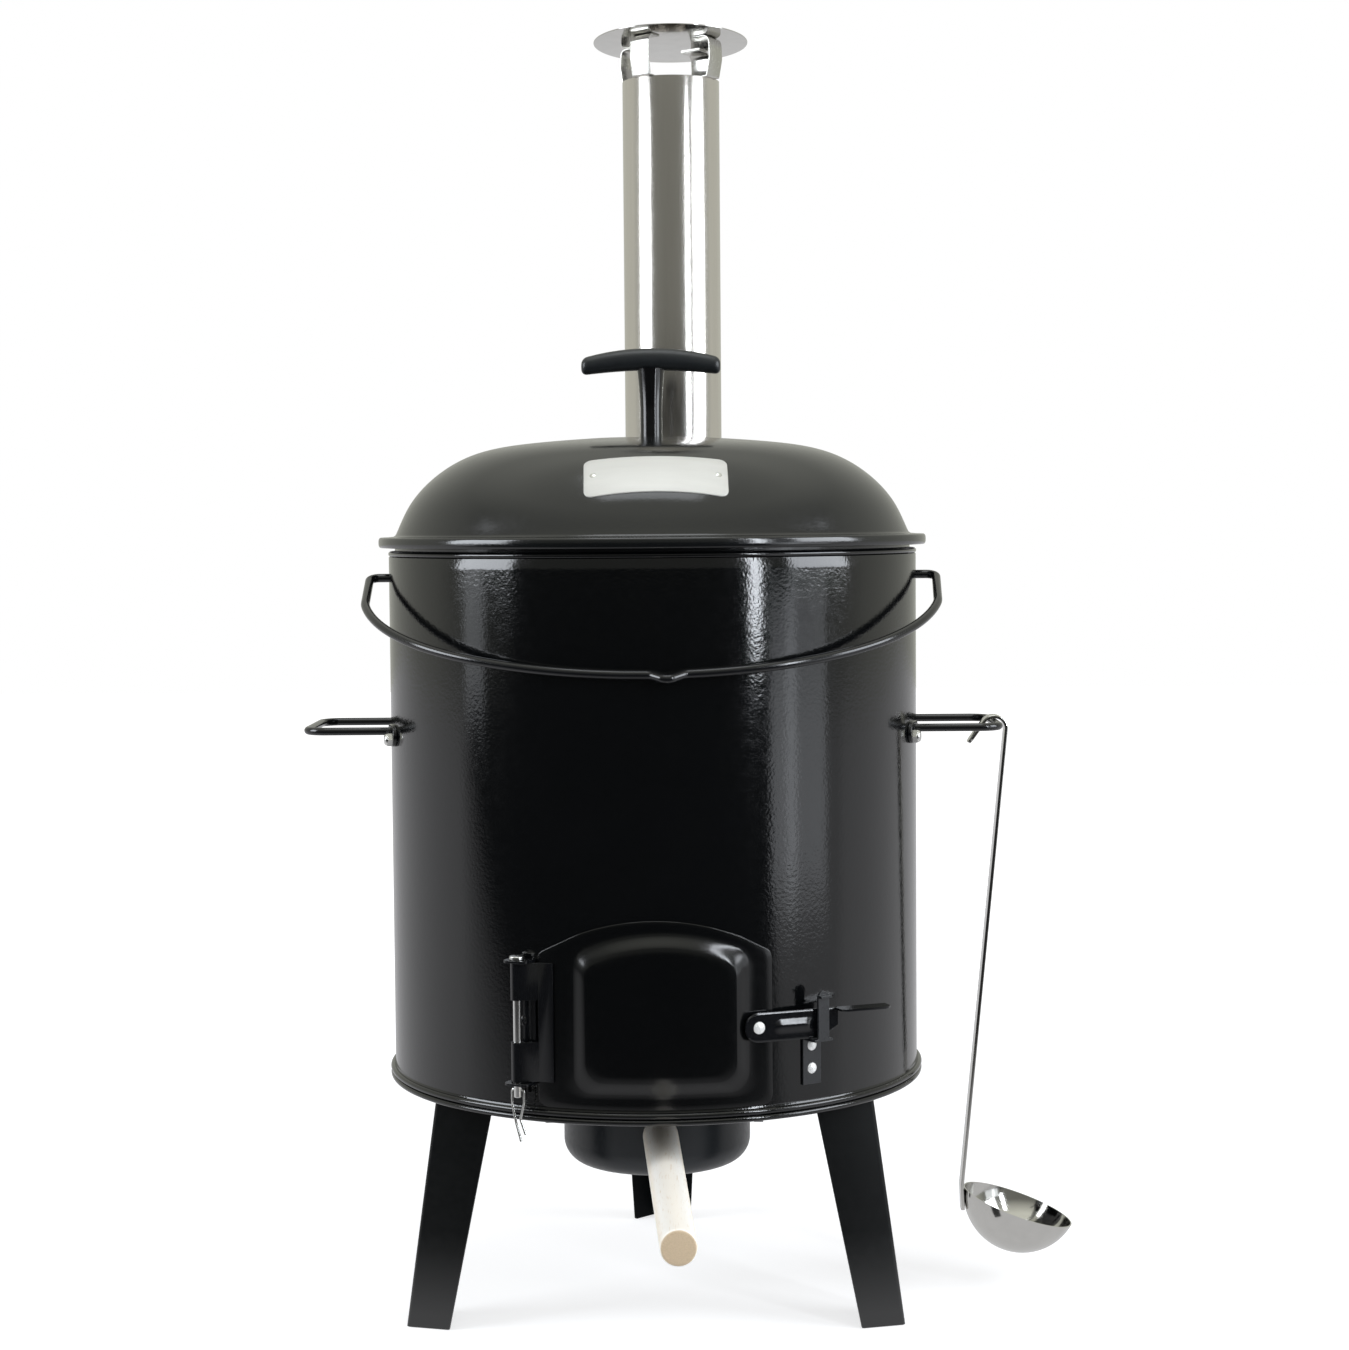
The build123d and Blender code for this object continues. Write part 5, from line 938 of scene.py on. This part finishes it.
def gripParts():
    # Sections are superellipses that shrink to the ends; a quarter-round closes each end
    share = np.sin(np.linspace(-quarter, quarter, 61))
    size = np.polyval(np.polyfit(*np.array(grip["shares"]).T, 4), share)
    inset = np.clip(1 - (1 - np.abs(share)) * grip["halfLength"] / grip["soft"], 0, 1)
    shrink = grip["soft"] * (1 - np.sqrt(1 - inset ** 2))
    section = circle(1.0, 40)
    across, upwards = (np.sign(section) * np.abs(section) ** grip["power"]).T
    y = across[None] * (size * grip["depth"] - shrink)[:, None]
    z = upwards[None] * (size * grip["rise"] - shrink)[:, None]
    z = z + grip["height"] - grip["droop"] * share[:, None] ** 2
    return [lattice(np.stack([share[:, None] * grip["halfLength"] + 0 * y, y, z], -1), wrapColumns=True,
                    capRows=True)]


putMesh("lid_grip", "moulded", gripParts(), gripPlastic, "kettle_lid")

# Bare plate, laid on the dome
plate = {"width": 101.0, "height": 39.5, "corner": 6.0, "sheet": 0.8, "edge": 0.3, "turn": 2.2,
         "radius": 163.5, "centre": 623.6, "slope": 38.6, "search": 40.0, "gap": 0.02}


def plateParts():
    # Each point of the flat outline slides along the plate's normal until it meets the dome (bisection)
    lean = math.radians(plate["slope"])
    normal = outward(plate["turn"]) * math.sin(lean) + up * math.cos(lean)
    rightwards = outward(plate["turn"] + 90)
    origin = outward(plate["turn"]) * plate["radius"] + up * plate["centre"]
    outline = evenly(roundedBox(plate["width"], plate["height"], plate["corner"], 10), 260, closed=True)
    shape = softPlate(outline, plate["sheet"], plate["edge"], 14)
    flat = origin + laid(shape, rightwards, np.cross(normal, rightwards))
    line = domeLine()
    low, high = (np.full(flat.shape[:2], reach) for reach in (-plate["search"], plate["search"]))
    for attempt in range(40):
        middle = (low + high) / 2
        spot = flat + middle[..., None] * normal
        above = spot[..., 2] > np.interp(np.hypot(spot[..., 0], spot[..., 1]), line[:, 0], line[:, 1])
        high = np.where(above, middle, high)
        low = np.where(above, low, middle)
    return [lattice(flat + (high + shape[..., 2] + plate["gap"])[..., None] * normal, wrapColumns=True)]


putMesh("lid_plate", "bare", plateParts(), plateAluminium, "kettle_lid", 50)
print("lid done")

# Ladle: hooked strap and deep round bowl, hung on the right handle's wire
ladle = {"reach": 260.0, "height": 435.0, "lean": 5.5, "hookRadius": 8.0, "hookGap": 0.3, "wire": 3.0,
         "sheet": 2.5, "halfWidth": 7.5, "edge": 0.7, "corner": 5.0, "length": 354.0, "endLength": 20.0,
         "endLean": 7.7, "bend": 12.0, "tipLength": 20.0, "tipAngle": 30.0, "bowlRadius": 44.3,
         "bowlDepth": 36.0, "bowlSheet": 1.0, "bowlTilt": 13.1, "gap": 0.05}


def leaning(lean):
    # The x and z directions of something that leans by an angle about Y
    lean = math.radians(lean)
    return np.array([math.cos(lean), 0, -math.sin(lean)]), np.array([math.sin(lean), 0, math.cos(lean)])


# The strap's middle line in the ladle's upright plane: (sideways, up) from the handle's wire
offset = ladle["hookRadius"] + ladle["sheet"] / 2
hookCentre = ladle["wire"] + ladle["hookGap"] - ladle["hookRadius"]
endLean = math.radians(ladle["endLean"])
strapFoot = np.array([offset, hookCentre - ladle["length"]])
strapRun = np.array([math.sin(endLean), -math.cos(endLean)]) * ladle["endLength"]
strapOut = np.array([math.cos(endLean), math.sin(endLean)])
bowlCentre = strapFoot + strapRun / 2 + strapOut * (ladle["sheet"] / 2 + ladle["bowlRadius"] + ladle["gap"])
ladleOrigin = np.array([ladle["reach"], 0, ladle["height"]])


def strapParts():
    tip = math.pi - math.radians(ladle["tipAngle"])
    hook = arc(offset, tip, 0, 30, (0, hookCentre))
    tipEnd = hook[0] + np.array([-math.sin(tip), math.cos(tip)]) * ladle["tipLength"]
    run = roundedPath([hook[-1], strapFoot, strapFoot + strapRun], [0, ladle["bend"], 0], 14)
    flat = np.vstack([evenly(np.vstack([tipEnd, hook[0]]), 10)[:-1], hook, run[1:]])
    # Both ends have rounded corners: half width = w - r + sqrt(r^2 - (r - distance)^2)
    corner = ladle["corner"]
    steps = lengthsAlong(flat)
    extra = np.linspace(0, corner, 9)
    wanted = np.unique(np.concatenate([steps, extra, steps[-1] - extra]))
    near = np.clip(corner - np.minimum(wanted, steps[-1] - wanted), 0, corner)
    half = ladle["halfWidth"] - corner + np.sqrt(corner ** 2 - near ** 2)
    path = ladleOrigin + laid(pointsAt(flat, wanted), *leaning(ladle["lean"]))
    rows = carried(path, (0, -1.0, 0), roundedBox(ladle["sheet"], 2 * ladle["halfWidth"], ladle["edge"], 5))
    rows[..., 1] *= (half / ladle["halfWidth"])[:, None]
    return [lattice(rows, wrapColumns=True, capRows=True)]


def bowlParts():
    # Cut sphere of sheet: outer arc up to the rim, and the inner arc back down
    rimDrop = ladle["bowlRadius"] - ladle["bowlDepth"]
    outer, inner = ladle["bowlRadius"], ladle["bowlRadius"] - ladle["bowlSheet"]
    outside = arc(outer, -quarter, -math.asin(rimDrop / outer), 40)
    inside = arc(inner, -math.asin(rimDrop / inner), -quarter, 40)
    rows = spun(np.vstack([outside, inside]), 128)
    origin = ladleOrigin + laid(bowlCentre, *leaning(ladle["lean"]))
    tilted = laid(rows[..., ::2], *leaning(ladle["lean"] + ladle["bowlTilt"]))
    return [lattice(origin + tilted + rows[..., 1:2] * [0, 1, 0], wrapRows=True)]


putMesh("ladle_handle", "strap", strapParts(), brightSteel, "hanging_ladle")
putMesh("ladle_bowl", "drawn", bowlParts(), brightSteel, "hanging_ladle", 60)
print("ladle done")

# Folded and cut fittings: merged copies of the CAD, edges broken as by tumbling
fittings = {
    "hinge_bracket": (fittingCoat, "mantle", "black_fittings", 0.45),
    "hinge_leaf": (fittingCoat, "stoking_door", "black_fittings", 0.4),
    "latch_catch": (lighterCatchCoat, "mantle", "black_fittings", 0.45),
    "latch_spacer": (fittingCoat, "stoking_door", "black_fittings", 0.3),
    "flue_collar": (fittingCoat, "mantle", "black_fittings", 0.4),
    "pot_lugs": (fittingCoat, "kettle", "black_fittings", 0.4),
    "pan_rails": (legCoat, "mantle", "black_leg_coat", 0.4),
    "fire_grate": (castIron, "loose_grate", "grate_iron", 0.8),
    "handle_cap_nuts": (nickelPlate, "mantle", "bright_fasteners", 0.3),
}
for node, (finish, body, slotName, edge) in fittings.items():
    softened(node, finish, body, edge)

# The other CAD nodes keep their shape and take a finish
plainFinish = {
    nickelPlate: ("leg_bolts", "leg_nuts", "rail_rivets", "handle_bolts", "collar_rivets", "lug_rivets",
                  "lid_screw", "lid_washer", "lid_plate_rivets", "pan_handle_screw"),
    fittingCoat: ("hinge_rivets",),
    zincPlate: ("latch_rivet", "catch_rivets"),
}
for finish, names in plainFinish.items():
    for place in [place for name in names for place in nodes[name].material_slots]:
        place.material = finish
print("fittings done")

# Room in metres: a white floor and a world that is dark in front. A glow is a pair of strengths, which
# changes from the first to the second between the two places of its span.
room = {
    "floorHalf": 7.0, "floorLow": -0.0005, "seenSpan": (0.6, 1.6), "seenGlow": (0.66, 1.0),
    "mirrorSpan": (-0.9, -0.15), "mirrorGlow": (0.03, 0.75), "wedgeSlope": 0.8, "wedgeSpan": (-0.15, 0.05),
    "wedgeGlow": (0.0, 0.6), "sideSpan": (-0.55, 0.25), "sideGlow": (0.02, 0.55), "overSpan": (0.3, 0.8),
    "overGlow": (0.0, 0.85), "wallSpan": (0.0, 0.06), "wallGlow": (0.02, 0.2), "diffuseGlow": 0.42,
}


def floorPaint():
    # Matt white floor. The camera sees it white with its shadow; gloss sees it white near the stove only.
    finish, tree, places = newFinish("white floor")
    rays = addNode(tree, "LightPath")
    split = addNode(tree, "SeparateXYZ", [places])
    away = addNode(tree, "VectorMath", [places], operation="LENGTH").outputs["Value"]
    lift = addNode(tree, "MapRange", [away, *room["seenSpan"], *room["seenGlow"]])
    fade = addNode(tree, "MapRange", [split.outputs[1], *room["mirrorSpan"], *room["mirrorGlow"]])
    # To the right of a line at 51 degrees from the front the floor is lit again
    past = addNode(tree, "Math", [split.outputs[0], room["wedgeSlope"], split.outputs[1]],
                   operation="MULTIPLY_ADD")
    wedge = addNode(tree, "MapRange", [past, *room["wedgeSpan"], *room["wedgeGlow"]])
    lit = addNode(tree, "Math", [fade, wedge], operation="MAXIMUM")
    matt = addNode(tree, "BsdfDiffuse", [linear("#c4c4c4")])
    glow = addNode(tree, "Emission", [linear("#ffffff"), lift])
    both = addNode(tree, "AddShader", [matt, glow])
    mirrored = addNode(tree, "Emission", [linear("#f4f4f6"), lit])
    seen = addNode(tree, "MixShader", [rays.outputs["Is Camera Ray"], matt, both])
    final = addNode(tree, "MixShader", [rays.outputs["Is Glossy Ray"], seen, mirrored])
    addNode(tree, "OutputMaterial", [final])
    return finish


half, low = room["floorHalf"], room["floorLow"]
floorMesh = bpy.data.meshes.new("floor")
floorMesh.from_pydata([(-half, -half, low), (half, -half, low), (half, half, low), (-half, half, low)], [],
                      [(0, 1, 2, 3)])
floorMesh.materials.append(floorPaint())
floor = bpy.data.objects.new("floor", floorMesh)
bpy.context.scene.collection.objects.link(floor)


def roomLight():
    # White to the camera. Gloss sees the brightest of three glows: one at the side that grows towards the
    # back, one overhead and a faint one above the horizon.
    world = bpy.data.worlds.new("studio")
    bpy.context.scene.world = world
    world.use_nodes = True
    tree = world.node_tree
    tree.nodes.clear()
    rays = addNode(tree, "LightPath")
    direction = addNode(tree, "TexCoord").outputs["Generated"]
    split = addNode(tree, "SeparateXYZ", [direction])
    side, over, wall = (
        addNode(tree, "MapRange", [split.outputs[axis], *room[name + "Span"], *room[name + "Glow"]])
        for name, axis in (("side", 1), ("over", 2), ("wall", 2)))
    above = addNode(tree, "Math", [over, wall], operation="MAXIMUM")
    both = addNode(tree, "Math", [side, above], operation="MAXIMUM")
    gloss = addNode(tree, "Mix", {0: rays.outputs["Is Glossy Ray"], 2: room["diffuseGlow"], 3: both})
    amount = addNode(tree, "Mix", {0: rays.outputs["Is Camera Ray"], 2: gloss, 3: 1.0})
    tint = addNode(tree, "Mix", {0: rays.outputs["Is Glossy Ray"], 6: linear("#ffffff"),
                   7: linear("#fdfef2")}, data_type="RGBA")
    sky = addNode(tree, "Background", [tint.outputs[2], amount])
    addNode(tree, "OutputWorld", [sky])


def softbox(name, turn, distance, low, high, width, radiance, tilt=0.0, mirrored=True):
    # Upright rectangular lamp that faces the stove's axis. Its power is radiance * pi * area.
    lamp = bpy.data.lights.new(name, "AREA")
    lamp.shape = "RECTANGLE"
    lamp.size, lamp.size_y = width, high - low
    lamp.energy = radiance * math.pi * width * (high - low)
    lamp.color = linear("#f3f8ff")[:3]
    holder = bpy.data.objects.new(name, lamp)
    spot = Vector(outward(turn) * distance) + Vector((0, 0, (low + high) / 2))
    facing = Vector(-outward(turn) * math.cos(tilt)) - Vector((0, 0, math.sin(tilt)))
    holder.matrix_world = Matrix.Translation(spot) @ facing.to_track_quat("-Z", "Y").to_matrix().to_4x4()
    holder.visible_glossy = mirrored
    bpy.context.scene.collection.objects.link(holder)


roomLight()
softbox("left softbox", -72, 2.0, 0.56, 1.75, 1.0, 8)
softbox("left board", -77, 1.9, 0.33, 0.53, 0.35, 1.1)
softbox("right strip", 43, 2.0, 0.42, 1.75, 0.17, 17)
softbox("inner board", 55, 2.0, 0.05, 0.50, 0.42, 1.15)
softbox("right board", 66, 2.0, 0.05, 0.50, 0.70, 1.0)
softbox("right softbox", 74, 2.0, 0.55, 1.75, 1.05, 7)
softbox("front fill", 4, 2.4, 0.3, 1.5, 1.4, 1.3, 0.1, mirrored=False)
softbox("top softbox", 0, 0.3, 2.2, 3.6, 1.4, 2.2, quarter - 0.1)

# Camera, solved from the photograph: its place in metres, its angles in radians, and its focal length in
# pixels of a picture that is 1350 pixels high
lens = {"place": (0.0420, -1.9908, 0.5923), "yaw": 0.0130, "pitch": -0.0600, "roll": -0.0079,
        "focalPixels": 2607.5, "picture": 1350, "sensor": 36, "farthest": 50}
camera = bpy.data.cameras.new("camera")
camera.lens = lens["sensor"] * lens["focalPixels"] / lens["picture"]
camera.sensor_width = lens["sensor"]
camera.clip_end = lens["farthest"]
eye = bpy.data.objects.new("camera", camera)
yaw, pitch = lens["yaw"], lens["pitch"]
right = Vector((math.cos(yaw), math.sin(yaw), 0))
ahead = Vector((-math.sin(yaw) * math.cos(pitch), math.cos(yaw) * math.cos(pitch), math.sin(pitch)))
above = right.cross(ahead)
rolledRight = (right + above * lens["roll"]).normalized()
rolledAbove = (above - right * lens["roll"]).normalized()
basis = Matrix((rolledRight, rolledAbove, -ahead)).transposed().to_4x4()
eye.matrix_world = Matrix.Translation(Vector(lens["place"])) @ basis
bpy.context.scene.collection.objects.link(eye)
bpy.context.scene.camera = eye
bpy.context.scene.view_settings.view_transform = "Standard"
print("room and camera done")
